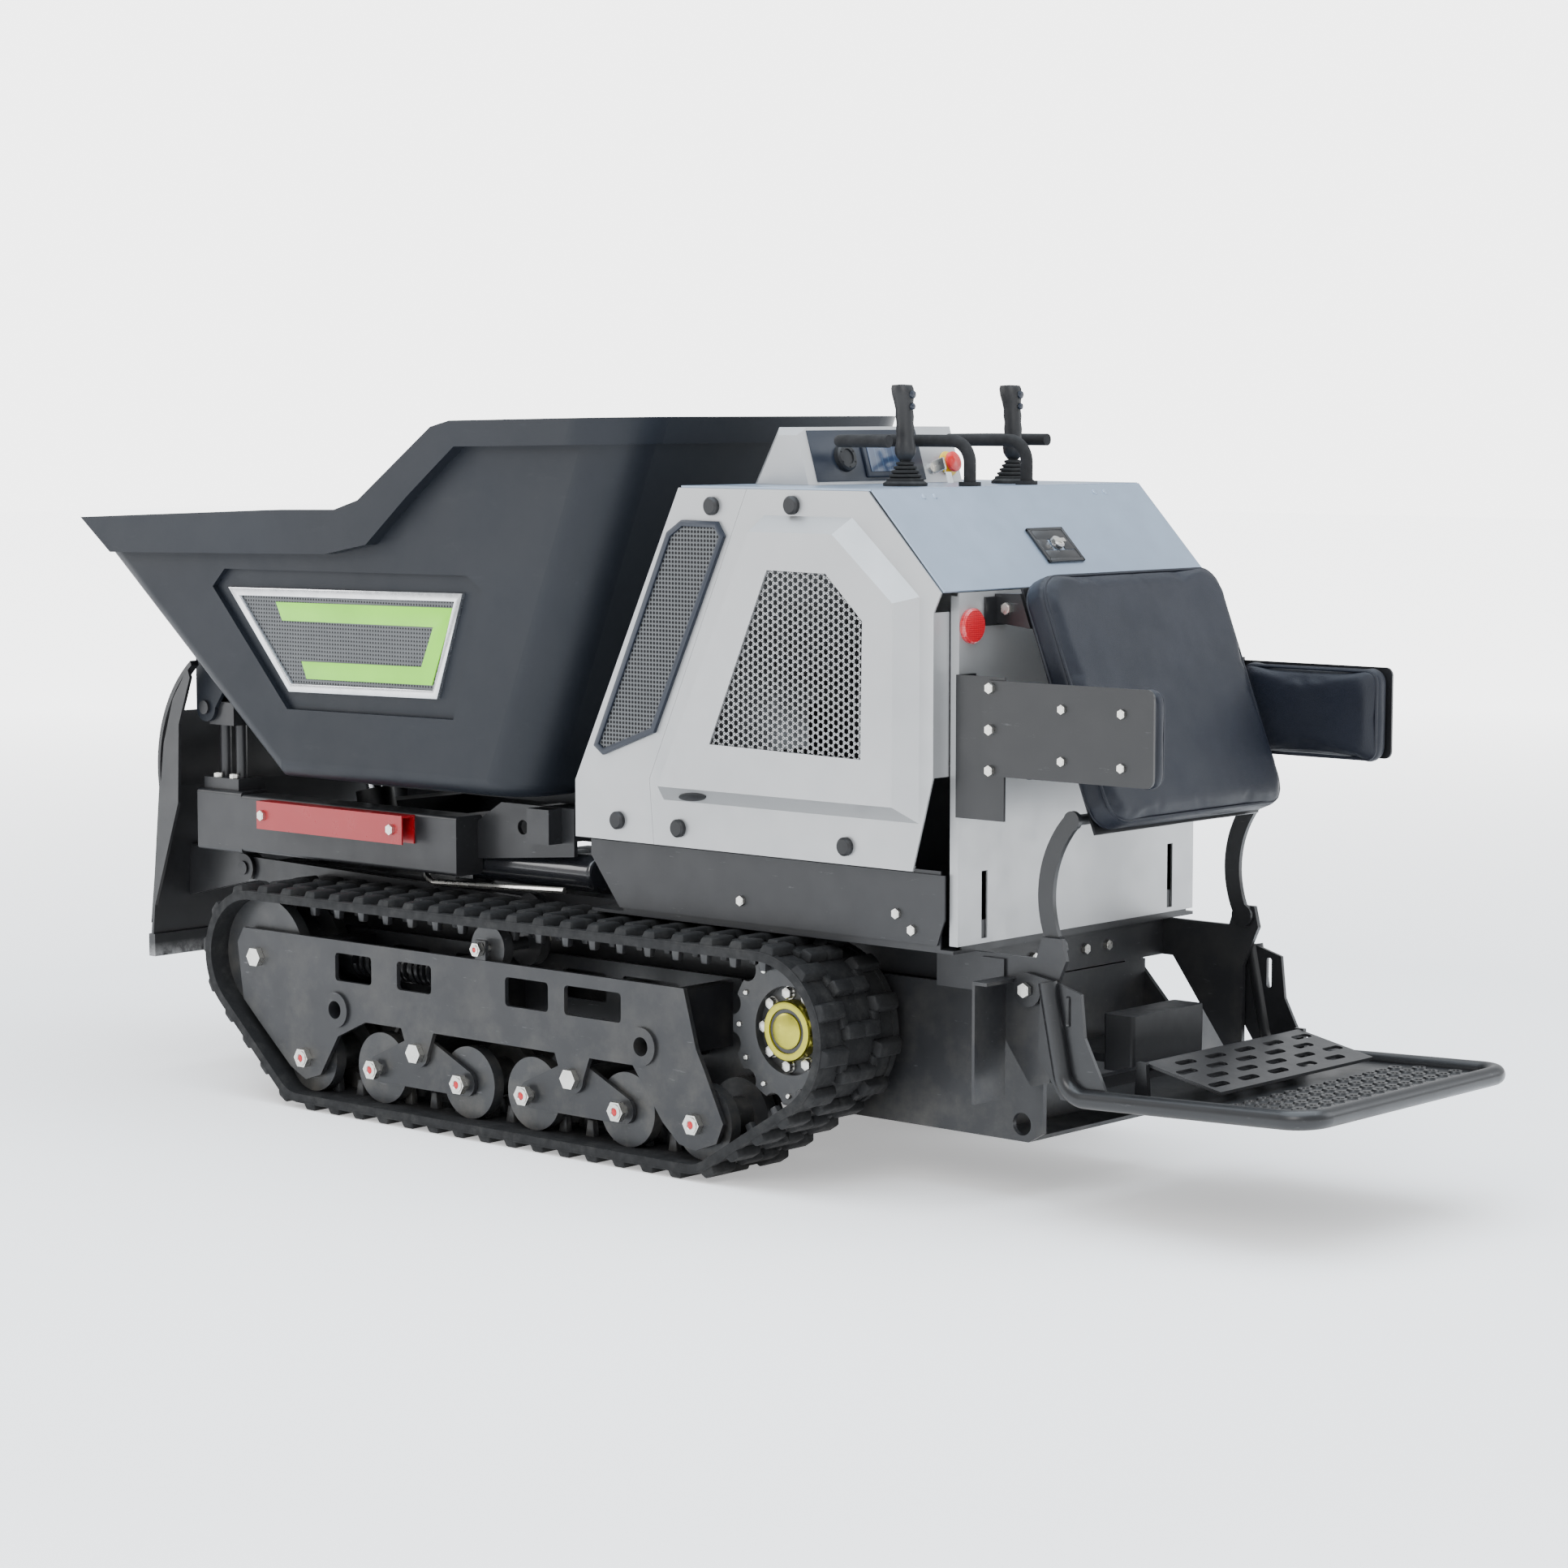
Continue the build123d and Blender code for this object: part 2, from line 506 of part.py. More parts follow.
def make_subframe():
    """Load frame: two beams, cross tubes, saddles, skip rests and the front hinge towers."""
    frame = box(400, 460, -BEAM_IN - 5, BEAM_IN + 5, 442, 492) + box(824, 872, -BEAM_IN - 5, BEAM_IN + 5, 425, 475)
    for x0, x1 in ((410, 450), (830, 866)):
        for side in (-1, 1):
            frame += box(x0, x1, side * 152 - 11, side * 152 + 11, RAIL_TOP + GAP, 445)
    beam = box(BEAM_REAR, BEAM_SPLICE, BEAM_IN, BEAM_OUT, BEAM_LOW + 4, BEAM_HIGH - 4)
    beam = fillet(beam.edges().filter_by(Axis.X), 6)
    sleeve = box(BEAM_SPLICE - 2, BEAM_FRONT, BEAM_IN, BEAM_OUT, BEAM_LOW, BEAM_HIGH)
    sleeve = fillet(sleeve.edges().filter_by(Axis.X), 6)
    block = box(922, 1014, HINGE_Y - 30, HINGE_Y + 30, BEAM_HIGH - 1, BEAM_HIGH + 20)
    block += box(935, HINGE_X, HINGE_Y - TOWER_HALF, HINGE_Y + TOWER_HALF, HINGE_Z - 30, HINGE_Z + 10)
    block += rod_y(HINGE_X, HINGE_Z, 24, HINGE_Y - TOWER_HALF, HINGE_Y + TOWER_HALF)
    for x in (948, 990):
        block += Pos(x, HINGE_Y, 0) * prism_z(Circle(10), BEAM_HIGH + 10, HINGE_Z - 10)
    block += rod_y(HINGE_X, HINGE_Z, HINGE_PIN_R, HINGE_Y - TOWER_HALF - 14, HINGE_Y + TOWER_HALF + 14)
    rest = box(160, 210, -BEAM_OUT + 20, BEAM_OUT - 20, 470, SKIP_FLOOR - SKIP_RIB - GAP)
    gusset = poly((132, 450), (BEAM_REAR + 6, 430), (BEAM_REAR + 6, 490), (300, 528), (132, 528)) - disc(250, 490, 12)
    web = prism_y(gusset, BEAM_IN + 2, BEAM_IN + 10)
    frame += rest
    for piece in (beam, sleeve, block, web):
        frame += piece
        frame += other_side(piece)
    return frame


def side_edges(solid, half_width, rear):
    """Long edges where the tub's side faces meet its rear wall, or its floor and front slope."""
    edges = solid.edges().filter_by(lambda e: abs(abs(e.center().Y) - half_width) < 1 and e.length > 400)
    if rear:
        return edges.filter_by(lambda e: e.center().X < SKIP_REAR_X)
    return edges.filter_by(lambda e: e.center().X > SKIP_REAR_X and e.center().Z < 800)


def make_skip():
    """Moulded tub with a stepped rim, pressed side pockets, hinge ears and a belly bracket."""
    (kx, kz), (lx, lz) = SKIP_KNEE, SKIP_LIP
    tub = poly((SKIP_REAR_X, SKIP_FLOOR), (kx, kz), (lx, lz), (SKIP_TIP_X - 3, 981), (723, 1002), (560, 1005),
               (500, 1022), (324, 1143), (270, 1153), (SKIP_TOP_X, SKIP_RIM))
    outer = prism_y(tub, -SKIP_HALF, SKIP_HALF)
    outer = fillet(side_edges(outer, SKIP_HALF, True), SKIP_CORNER)
    outer = fillet(side_edges(outer, SKIP_HALF, False), SKIP_BEND)
    rim = poly((1148, 921), (SKIP_TIP_X, 981), (723, 1002.5), (560, 1005.5), (500, 1022.5), (324, 1143.5),
               (280, 1153.5), (SKIP_TOP_X - 12, SKIP_RIM), (-91, 1118), (270, 1112), (382, 1030), (481, 950), (581, 932))
    band = prism_y(rim, -RIM_HALF, RIM_HALF)
    corner = band.edges().filter_by(lambda e: abs(abs(e.center().Y) - RIM_HALF) < 1 and e.center().X < -60
                                    and e.length < 60)
    band = fillet(corner, SKIP_CORNER + RIM_HALF - SKIP_HALF)
    high = 1400
    rear_x = SKIP_REAR_X + (SKIP_TOP_X - SKIP_REAR_X) * (high - SKIP_FLOOR) / (SKIP_RIM - SKIP_FLOOR)
    walls = poly((SKIP_REAR_X, SKIP_FLOOR), (kx, kz), (lx, lz), (SKIP_TIP_X - 1, 981), (SKIP_TIP_X - 1, high),
                 (rear_x, high))
    inside = offset(walls, -SKIP_WALL, kind=Kind.INTERSECTION)
    cavity = prism_y(inside, -SKIP_HALF + SKIP_WALL, SKIP_HALF - SKIP_WALL)
    cavity = fillet(side_edges(cavity, SKIP_HALF - SKIP_WALL, True), SKIP_CORNER - SKIP_WALL)
    cavity = fillet(side_edges(cavity, SKIP_HALF - SKIP_WALL, False), SKIP_BEND - SKIP_WALL)
    pocket = poly(*POCKET)
    depth = POCKET_DEPTH
    backing = offset(pocket, 10, kind=Kind.INTERSECTION)
    skip = outer + band - cavity
    for side in (1, -1):
        y0, y1 = sorted((side * (SKIP_HALF - SKIP_WALL - depth), side * (SKIP_HALF - 1)))
        skip += prism_y(backing, y0, y1)
        y0, y1 = sorted((side * (SKIP_HALF - depth), side * (SKIP_HALF + 30)))
        skip -= prism_y(pocket, y0, y1)
    ear = disc(HINGE_X, HINGE_Z, 25)
    ear += poly((HINGE_X - 25, HINGE_Z), (HINGE_X + 25, HINGE_Z), (HINGE_X + 25, slope_z(HINGE_X + 25) + 3),
                (HINGE_X - 70, slope_z(HINGE_X - 70) + 3))
    ear -= disc(HINGE_X, HINGE_Z, HINGE_PIN_R + FIT)
    for side in (-1, 1):
        for face in (-1, 1):
            centre = side * HINGE_Y + face * (TOWER_HALF + GAP + EAR_T / 2)
            skip += prism_y(ear, centre - EAR_T / 2, centre + EAR_T / 2)
    ex, ez = TIP_EYE
    lug = disc(ex, ez, 22) + poly((ex - 22, ez), (ex + 22, ez), (ex + 22, slope_z(ex + 22) + 3),
                                  (ex - 22, slope_z(ex - 22) + 3))
    for face in (-1, 1):
        centre = TIP_Y + face * (TIP_EYE_WIDTH / 2 + 1 + EAR_T / 2)
        skip += prism_y(lug, centre - EAR_T / 2, centre + EAR_T / 2)
    for y in (-150, 150):
        skip += box(SKIP_REAR_X + 20, 700, y - 20, y + 20, SKIP_FLOOR - SKIP_RIB, SKIP_FLOOR + 2)
    return skip


def along(foot, eye, s):
    """Point at distance s from the foot towards the eye."""
    length = math.dist(foot, eye)
    return (foot[0] + (eye[0] - foot[0]) * s / length, foot[1] + (eye[1] - foot[1]) * s / length)


def axis_rod(foot, eye, y, s0, s1, r):
    """Round bar on the foot to eye line between two distances from the foot."""
    x, z = along(foot, eye, s0)
    direction = Vector(eye[0] - foot[0], 0, eye[1] - foot[1])
    return extrude(Plane((x, y, z), z_dir=direction) * Circle(r), amount=s1 - s0)


def make_cylinder(foot, eye, y, barrel_r, rod_r, barrel_end, rod_start, eye_width):
    """Hydraulic cylinder: a barrel with its foot eye, and a rod with its end eye."""
    length = math.dist(foot, eye)
    barrel = axis_rod(foot, eye, y, 30, barrel_end, barrel_r) + axis_rod(foot, eye, y, 10, 34, 16)
    barrel += axis_rod(foot, eye, y, barrel_end - 26, barrel_end + 10, barrel_r + 4)
    barrel += rod_y(*foot, 21, y - FOOT_WIDTH / 2, y + FOOT_WIDTH / 2)
    barrel -= axis_rod(foot, eye, y, 30, barrel_end + 20, rod_r + FIT)
    barrel -= rod_y(*foot, PIN_R + FIT, y - FOOT_WIDTH / 2, y + FOOT_WIDTH / 2)
    rod = axis_rod(foot, eye, y, rod_start, length - 14, rod_r)
    rod += rod_y(*eye, 19, y - eye_width / 2, y + eye_width / 2)
    rod -= rod_y(*eye, PIN_R + FIT, y - eye_width / 2, y + eye_width / 2)
    return barrel, rod


def make_arms():
    """Two lift arms joined by a torsion tube, with the shovel pins and the cylinder lug."""
    (px, pz), (sx, sz) = ARM_PIVOT, SHOVEL_PIVOT
    side = disc(px, pz, 25) + disc(sx, sz, 25)
    side += poly((px, pz - 16), (sx, sz - 20), (sx, sz + 20), (px, pz + 16))
    side -= disc(px, pz, PIN_R + FIT)
    arm = prism_y(side, ARM_Y - ARM_T / 2, ARM_Y + ARM_T / 2)
    arm += rod_y(sx, sz, PIN_R, ARM_Y - ARM_T / 2 - 12, ARM_Y + ARM_T / 2 + 12)
    arms = rod_y(TORSION_X, sz - 4, 20, -ARM_Y, ARM_Y)
    for piece in twin(arm):
        arms += piece
    ex, ez = LIFT_EYE
    lug = disc(ex, ez, 20) + poly((ex, ez - 20), (TORSION_X, sz - 22), (TORSION_X, sz + 14), (ex - 12, ez + 16))
    for face in (-1, 1):
        centre = LIFT_Y + face * (TIP_EYE_WIDTH / 2 + 1 + EAR_T / 2)
        arms += prism_y(lug - disc(ex, ez, PIN_R + FIT), centre - EAR_T / 2, centre + EAR_T / 2)
    return arms


def make_shovel():
    """Curved shovel shell with end cheeks and pivot lugs, notched round the hinge towers."""
    (x0, z0), (x1, z1), (x2, z2), (x3, z3), (x4, z4) = SHOVEL_FACE
    outer = [Line((x0, z0), (x1, z1)), ThreePointArc((x1, z1), (x3, z3), (x4, z4))]
    inner_arc = ThreePointArc((x4 - 3, z4 - 8), (x3 - 7, z3 - 5), (x1 - SHOVEL_WALL, z1))
    face = make_face(Wire([*outer, Line((x4, z4), (x4 - 3, z4 - 8)), inner_arc,
                           Line((x1 - SHOVEL_WALL, z1), (x0 - SHOVEL_WALL, z0)),
                           Line((x0 - SHOVEL_WALL, z0), (x0, z0))]))
    shovel = prism_y(face, -SHOVEL_HALF, SHOVEL_HALF)
    cheek = poly((x0 - 4, z0 + 60), (x1 - 4, z1), (x2 - 6, z2), (x3 - 8, z3 - 6), (x4 + 8, z4 - 14),
                 (x4 + 2, z4 - 30), (1040, 620), (1045, 480))
    edge = box(x0 - SHOVEL_WALL - 8, x0 + 3, -SHOVEL_HALF, SHOVEL_HALF, z0, z0 + 40)
    shovel += edge
    sx, sz = SHOVEL_PIVOT
    lug = disc(sx, sz, 25) + poly((sx, sz - 25), (x0 - 20, sz - 60), (x1 + 8, sz + 32), (sx, sz + 25))
    lug -= disc(sx, sz, PIN_R + FIT)
    for side in (-1, 1):
        end = side * (SHOVEL_HALF - SHOVEL_WALL / 2)
        shovel += prism_y(cheek, end - SHOVEL_WALL / 2, end + SHOVEL_WALL / 2)
        for face_side in (-1, 1):
            centre = side * ARM_Y + face_side * (ARM_T / 2 + GAP + EAR_T / 2)
            shovel += prism_y(lug, centre - EAR_T / 2, centre + EAR_T / 2)
        y0, y1 = sorted((side * (HINGE_Y - TOWER_HALF - 20), side * (HINGE_Y + TOWER_HALF + 20)))
        shovel -= box(960, 1140, y0, y1, 640, 780)
    return shovel


add("chassis_frame", make_chassis())
add("load_subframe", make_subframe())
add("skip", make_skip())
tip_barrel, tip_rod = make_cylinder(TIP_FOOT, TIP_EYE, TIP_Y, 30, 14, 258, 40, TIP_EYE_WIDTH)
add("tip_cylinder_barrel", tip_barrel)
add("tip_cylinder_rod", tip_rod)
lift_barrel, lift_rod = make_cylinder(LIFT_FOOT, LIFT_EYE, LIFT_Y, 26, 13, 220, 120, TIP_EYE_WIDTH)
add("lift_cylinder_barrel", lift_barrel)
add("lift_cylinder_rod", lift_rod)
add("lift_arms", make_arms())
add("shovel", make_shovel())


# ================================================================ body

def make_front_panel():
    """Bent front sheet with its two corner pillar faces."""
    (x0, z0), (x1, z1), (x2, z2) = PILLAR[:3]
    sheet = poly((x0, z0), (x1, z1), (x2, z2), (x2 - SHEET, z2), (x1 - SHEET, z1 - 1), (x0 - SHEET, z0))
    panel = prism_y(sheet, -COVER_BASE, COVER_BASE)
    side = prism_y(poly(*PILLAR), COVER_BASE - SHEET, COVER_BASE)
    for piece in twin(side):
        panel += piece
    return panel


def make_side_cover():
    """Side cover: flanged base sheet with a raised hollow face and its grille opening."""
    base = poly((-141.5, COVER_LOW), (-132.5, 602), (-336.5, PANEL_TOP), (-575, PANEL_TOP), (-714, 909), (-700, 880),
                (-700, 640), (-662, COVER_LOW))
    foot = poly((-163, 572), (-372, 1014), (-545, 1014), (-674, 902), (-674, 572))
    face = poly((-178, 596), (-366, 990), (-531, 990), (-647, 893), (-647, 596))
    raised = loft([Plane.XZ.offset(-COVER_BASE) * foot, Plane.XZ.offset(-COVER_FACE) * face])
    inner = loft([
        Plane.XZ.offset(-COVER_BASE + SHEET + 1) * offset(foot, -SHEET, kind=Kind.INTERSECTION),
        Plane.XZ.offset(-COVER_FACE + SHEET) * offset(face, -SHEET, kind=Kind.INTERSECTION),
    ])
    cover = prism_y(base, COVER_BASE - SHEET, COVER_BASE) + raised - inner
    cover -= prism_y(poly(*MESH), COVER_FACE - 10, COVER_FACE + 5)
    cover += box(-700, -697, BODY_HALF + SEAM, COVER_BASE - 1, 640, 880)
    cover += box(-640, -150, TRAY_HALF - SHEET, COVER_BASE - 1, COVER_LOW, COVER_LOW + SHEET)
    return cover


def make_rear_panel():
    """Rear sheet with vertical slots and returned side flanges."""
    panel = box(BODY_REAR, BODY_REAR + SHEET, -BODY_HALF, BODY_HALF, BODY_LOW + 1, LID_LOW - 3)
    for side in (-1, 1):
        panel -= Pos(BODY_REAR, side * 231, 448) * Box(20, 14, 100)
        y0, y1 = sorted((side * (BODY_HALF - SHEET), side * BODY_HALF))
        panel += box(BODY_REAR, -702, y0, y1, BODY_LOW + 1, 903)
    return panel


def make_deck():
    """Top sheet of the body with the two joystick holes."""
    deck = box(DECK_REAR, DECK_FRONT - 3, -COVER_BASE + SHEET + SEAM, COVER_BASE - SHEET - SEAM,
               DECK_TOP - SHEET, DECK_TOP)
    for side in (-1, 1):
        deck -= Pos(STICK_X, side * STICK_Y, DECK_TOP) * Cylinder(STICK_HOLE_R, 20)
    return deck


def lid_plane(s, y):
    """Plane on the lid's outer face, s along the slope from its upper edge, facing outward."""
    x, z = along(LID_TOP_EDGE, LID_LOW_EDGE, s)
    dx, dz = LID_LOW_EDGE[0] - LID_TOP_EDGE[0], LID_LOW_EDGE[1] - LID_TOP_EDGE[1]
    size = math.hypot(dx, dz)
    return Plane((x, y, z), x_dir=(0, 1, 0), z_dir=(dz / size, 0, -dx / size))


def make_lid():
    """Sloping service lid with stiffening edge and the latch's recessed plate."""
    length = math.dist(LID_TOP_EDGE, LID_LOW_EDGE)
    middle = lid_plane(length / 2, 0)
    lid = extrude(middle * Rectangle(2 * LID_HALF, length), amount=-SHEET)
    plate = extrude(lid_plane(LATCH_S, 0) * RectangleRounded(74, 52, 6), amount=3)
    hole = extrude(lid_plane(LATCH_S, 0) * Circle(LATCH_R / 2 + FIT), amount=20, both=True)
    return lid - hole, plate - hole


def make_latch():
    """Quarter-turn latch: knob outside, stem through the lid, cam inside."""
    knob = extrude(lid_plane(LATCH_S, 0).offset(3 + GAP) * Circle(LATCH_R), amount=7)
    knob += extrude(lid_plane(LATCH_S, 0).offset(8) * Rectangle(26, 7), amount=6)
    knob += extrude(lid_plane(LATCH_S, 0).offset(-14) * Circle(LATCH_R / 2), amount=20)
    knob += extrude(lid_plane(LATCH_S, 0).offset(-14) * (Pos(0, 10) * Rectangle(12, 34)), amount=4)
    return knob


def face_plane(z, y):
    """Plane on the console's sloping rear face, facing the operator."""
    (x0, z0), (x1, z1) = CONSOLE_FACE
    t = (z - z0) / (z1 - z0)
    size = math.hypot(x1 - x0, z1 - z0)
    return Plane((x0 + t * (x1 - x0), y, z), x_dir=(0, 1, 0), z_dir=((z1 - z0) / size, 0, -(x1 - x0) / size))


def make_console():
    """Control pod shell with holes for the key and stop button, a display bezel and a socket cap."""
    outline = poly((-212, DECK_TOP + GAP), (-262, CONSOLE_TOP), CONSOLE_FACE[0], CONSOLE_FACE[1])
    pod = prism_y(outline, -CONSOLE_HALF, CONSOLE_HALF)
    pod = chamfer(pod.edges().filter_by(lambda e: abs(abs(e.center().Y) - CONSOLE_HALF) < 1
                                        and e.center().Z > DECK_TOP + 5), 12)
    inner = offset(outline, -4, kind=Kind.INTERSECTION)
    pod -= prism_y(inner, -CONSOLE_HALF + 14, CONSOLE_HALF - 14)
    pod -= extrude(face_plane(KEY_Z, KEY_Y) * Circle(8 + FIT), amount=12, both=True)
    pod -= extrude(face_plane(STOP_Z, STOP_Y) * Circle(8 + FIT), amount=12, both=True)
    bezel = extrude(face_plane(SCREEN_Z, SCREEN_Y) * RectangleRounded(92, 58, 5), amount=4)
    socket = extrude(face_plane(SCREEN_Z, SOCKET_Y) * Circle(19), amount=7)
    bases = []
    for side in (-1, 1):
        y = side * STICK_Y
        base = box(STICK_X - 32, STICK_X + 32, y - 32, y + 32, 1008, DECK_TOP - SHEET - GAP)
        base -= Pos(STICK_X, y, 1044) * Cylinder(STICK_HOLE_R + 2, 40)
        base += rod_y(STICK_X, STICK_PIVOT_Z, 3, y - 28, y + 28)
        bases.append(base)
    return pod, bezel, socket, *bases


def make_stick(side):
    """Joystick: pivot ball, lever and shaped grip with a thumb button."""
    profile = make_face(Polyline(
        (0, 1110), (11, 1110), (15, 1118), (13, 1134), (15, 1152), (14.5, 1176), (17, 1196), (14, 1206),
        (0, 1208), (0, 1110)))
    grip = revolve(Plane.XZ * profile, Axis.Z)
    lever = Pos(0, 0, (STICK_PIVOT_Z + 1112) / 2) * Cylinder(6, 1112 - STICK_PIVOT_Z)
    ball = Pos(0, 0, STICK_PIVOT_Z) * Sphere(9)
    stick = grip + lever + ball + Pos(0, 0, 1209) * Cylinder(5, 6)
    stick -= rod_y(0, STICK_PIVOT_Z, 3 + FIT, -12, 12)
    return Pos(STICK_X, side * STICK_Y, 0) * stick


def make_stop_button():
    stem_plane = face_plane(STOP_Z, STOP_Y)
    button = extrude(stem_plane.offset(-16) * Circle(8), amount=24)
    return button + extrude(stem_plane.offset(8) * Circle(16), amount=9)


def make_key():
    plane = face_plane(KEY_Z, KEY_Y)
    key = extrude(plane.offset(-12) * Circle(8), amount=16)
    return key + extrude(plane.offset(3) * RectangleRounded(4, 20, 1.5), amount=24)


def make_hand_loop():
    """Padded hand rest that bends round one joystick from its foot on the deck."""
    y0, y1 = STICK_Y - 62, STICK_Y + 62
    loop = tube([(-556, y0, DECK_TOP + GAP), (-556, y0, HAND_Z), (-385, y0, HAND_Z), (-385, y1, HAND_Z),
                 (-500, y1, HAND_Z)], FOAM_R, 34)
    foot = Pos(-556, y0, DECK_TOP + GAP + 3) * Cylinder(17, 6)
    return loop + foot


def make_skirt():
    """Lower side skirt below the cover."""
    shape = poly((22, 495), (-700, 495), (-700, 430), (-686, 391), (-40, 391), (22, 470))
    return prism_y(shape, TRAY_HALF + GAP, TRAY_HALF + GAP + SHEET)


def make_guard():
    """Guard plate behind the track, on a flange bolted to the rear bracket plate."""
    y0 = BRACKET_Y + BRACKET_T + GAP
    guard = box(-770, -765, y0, 318, 168, 345) + box(-770, -728, y0, y0 + 4, 326, 374)
    return guard + box(-792, -765, y0, 318, 343, 348)


def make_safety_bar():
    """Red cylinder safety channel stored on the outside of the load beam."""
    y0 = BEAM_OUT + GAP
    bar = box(455, 822, y0, y0 + 30, 452, 500)
    return bar - box(450, 830, y0 + 3, y0 + 27, 448, 496)


def make_power_unit():
    """Hydraulic power unit: pump motor, valve block, reservoir, fittings and its foot."""
    y, z = 188.0, 420.0
    motor = Plane.YZ.offset(110) * (Pos(y, z) * Circle(30))
    unit = extrude(motor, amount=278)
    unit = fillet(unit.edges().sort_by(Axis.X)[0], 8)
    unit += box(386, 472, y - 22, y + 26, z - 28, z + 18)
    unit += extrude(Plane.YZ.offset(470) * (Pos(y, z - 3) * Circle(20)), amount=66)
    unit += extrude(Plane.YZ.offset(530) * (Pos(y, z - 3) * Circle(25)), amount=96)
    unit += box(392, 466, y - 22, y - 10, RAIL_TOP + GAP, z - 20)
    return unit


def make_drive_motor():
    """Wheel motor between the chassis side and its sprocket."""
    motor = rod_y(SPROCKET_X, SPROCKET_Z, 62, CHASSIS_HALF, TRACK_Y - 20)
    return motor + rod_y(SPROCKET_X, SPROCKET_Z, 44, TRACK_Y - 22, TRACK_Y - SPROCKET_HALF - GAP)


def make_tensioner():
    """Track tensioner: spring stack, rod and end cups between the frame plates."""
    z = (WINDOW_LOW + WINDOW_HIGH) / 2
    centre = Pos(TRACK_Y, z)
    rear = FRAME_SPACERS[0][1]
    tensioner = extrude(Plane.YZ.offset(rear) * (centre * Circle(30)), amount=8)
    tensioner += extrude(Plane.YZ.offset(rear + 6) * (centre * Circle(20)), amount=SPRING_COILS * SPRING_PITCH + 10)
    for k in range(SPRING_COILS):
        tensioner += extrude(Plane.YZ.offset(rear + 12 + k * SPRING_PITCH) * (centre * Circle(26)), amount=7)
    cup = rear + 14 + SPRING_COILS * SPRING_PITCH
    return tensioner + extrude(Plane.YZ.offset(cup) * (centre * Circle(30)), amount=FRAME_SPACERS[2][0] - cup)


# ================================================================ operator station

def pad_point(s, depth):
    """Point in the pad's side view: s down its front face, depth behind that face."""
    dx, dz = PAD_DOWN
    return (PAD_T0[0] + s * dx + depth * dz, PAD_T0[1] + s * dz - depth * dx)


def make_backrest_pad():
    side = poly(pad_point(0, GAP), pad_point(PAD_LENGTH, GAP), pad_point(PAD_LENGTH, PAD_THICK),
                pad_point(0, PAD_THICK))
    pad = prism_y(side, -PAD_HALF, PAD_HALF)
    return fillet(pad.edges().filter_by(lambda e: abs(e.center().Y) < 1 or abs(e.center().Y) > PAD_HALF - 1), 12)


def make_backrest_frame():
    """Backing plate, upper brackets, curved lower arms and cross rod of the backrest."""
    back = poly(pad_point(12, 0), pad_point(PAD_LENGTH - 6, 0), pad_point(PAD_LENGTH - 6, -4), pad_point(12, -4))
    frame = prism_y(back, -205, 205)
    upper = poly((BODY_REAR - GAP, 904), pad_point(20, -3), pad_point(74, -3), (BODY_REAR - GAP, 862))
    flange = box(BODY_REAR - GAP - 4, BODY_REAR - GAP, 185, 236, 858, 900)
    cx, cz = pad_point(362, -11)
    fx, fz = ARM_FOOT
    arm_y1 = BRACKET_Y - GAP
    arm_y0 = arm_y1 - 8
    outer = ThreePointArc((fx + 14, fz), (-822, 474), (cx + 12, cz + 6))
    inner = ThreePointArc((fx - 14, fz), (-849, 472), (cx - 12, cz - 6))
    arm = make_face(Wire([outer, Line(outer @ 1, inner @ 1), inner, Line(inner @ 0, outer @ 0)]))
    arm += disc(fx, fz, 18) + disc(cx, cz, 14)
    frame += rod_y(cx, cz, 8, -arm_y1, arm_y1)
    for piece in (prism_y(upper, 205, 211), prism_y(upper, 199, 206), flange, prism_y(arm, arm_y0, arm_y1)):
        frame += piece
        frame += other_side(piece)
    return frame


def make_hip_bracket():
    """Hip rail: flanged mounting plate on the body corner and the plate that carries the pad."""
    mount = box(-807, BODY_REAR - GAP, HIP_Y - 4, HIP_Y, 582, 790)
    mount += box(BODY_REAR - GAP - 4, BODY_REAR - GAP, 258, HIP_Y, 582, 790)
    rail = Plane.XZ.offset(-(HIP_Y + 4 + GAP)) * (Pos(-922, 716) * RectangleRounded(304, 138, 12))
    return mount, extrude(rail, amount=4)


def make_hip_pad():
    centre = Pos((HIP_FRONT + HIP_REAR) / 2, 714)
    shape = centre * RectangleRounded(HIP_FRONT - HIP_REAR, 146, 22)
    pad = prism_y(shape, HIP_Y - 38, HIP_Y)
    return fillet(pad.edges().sort_by(Axis.Y)[:8], 8)


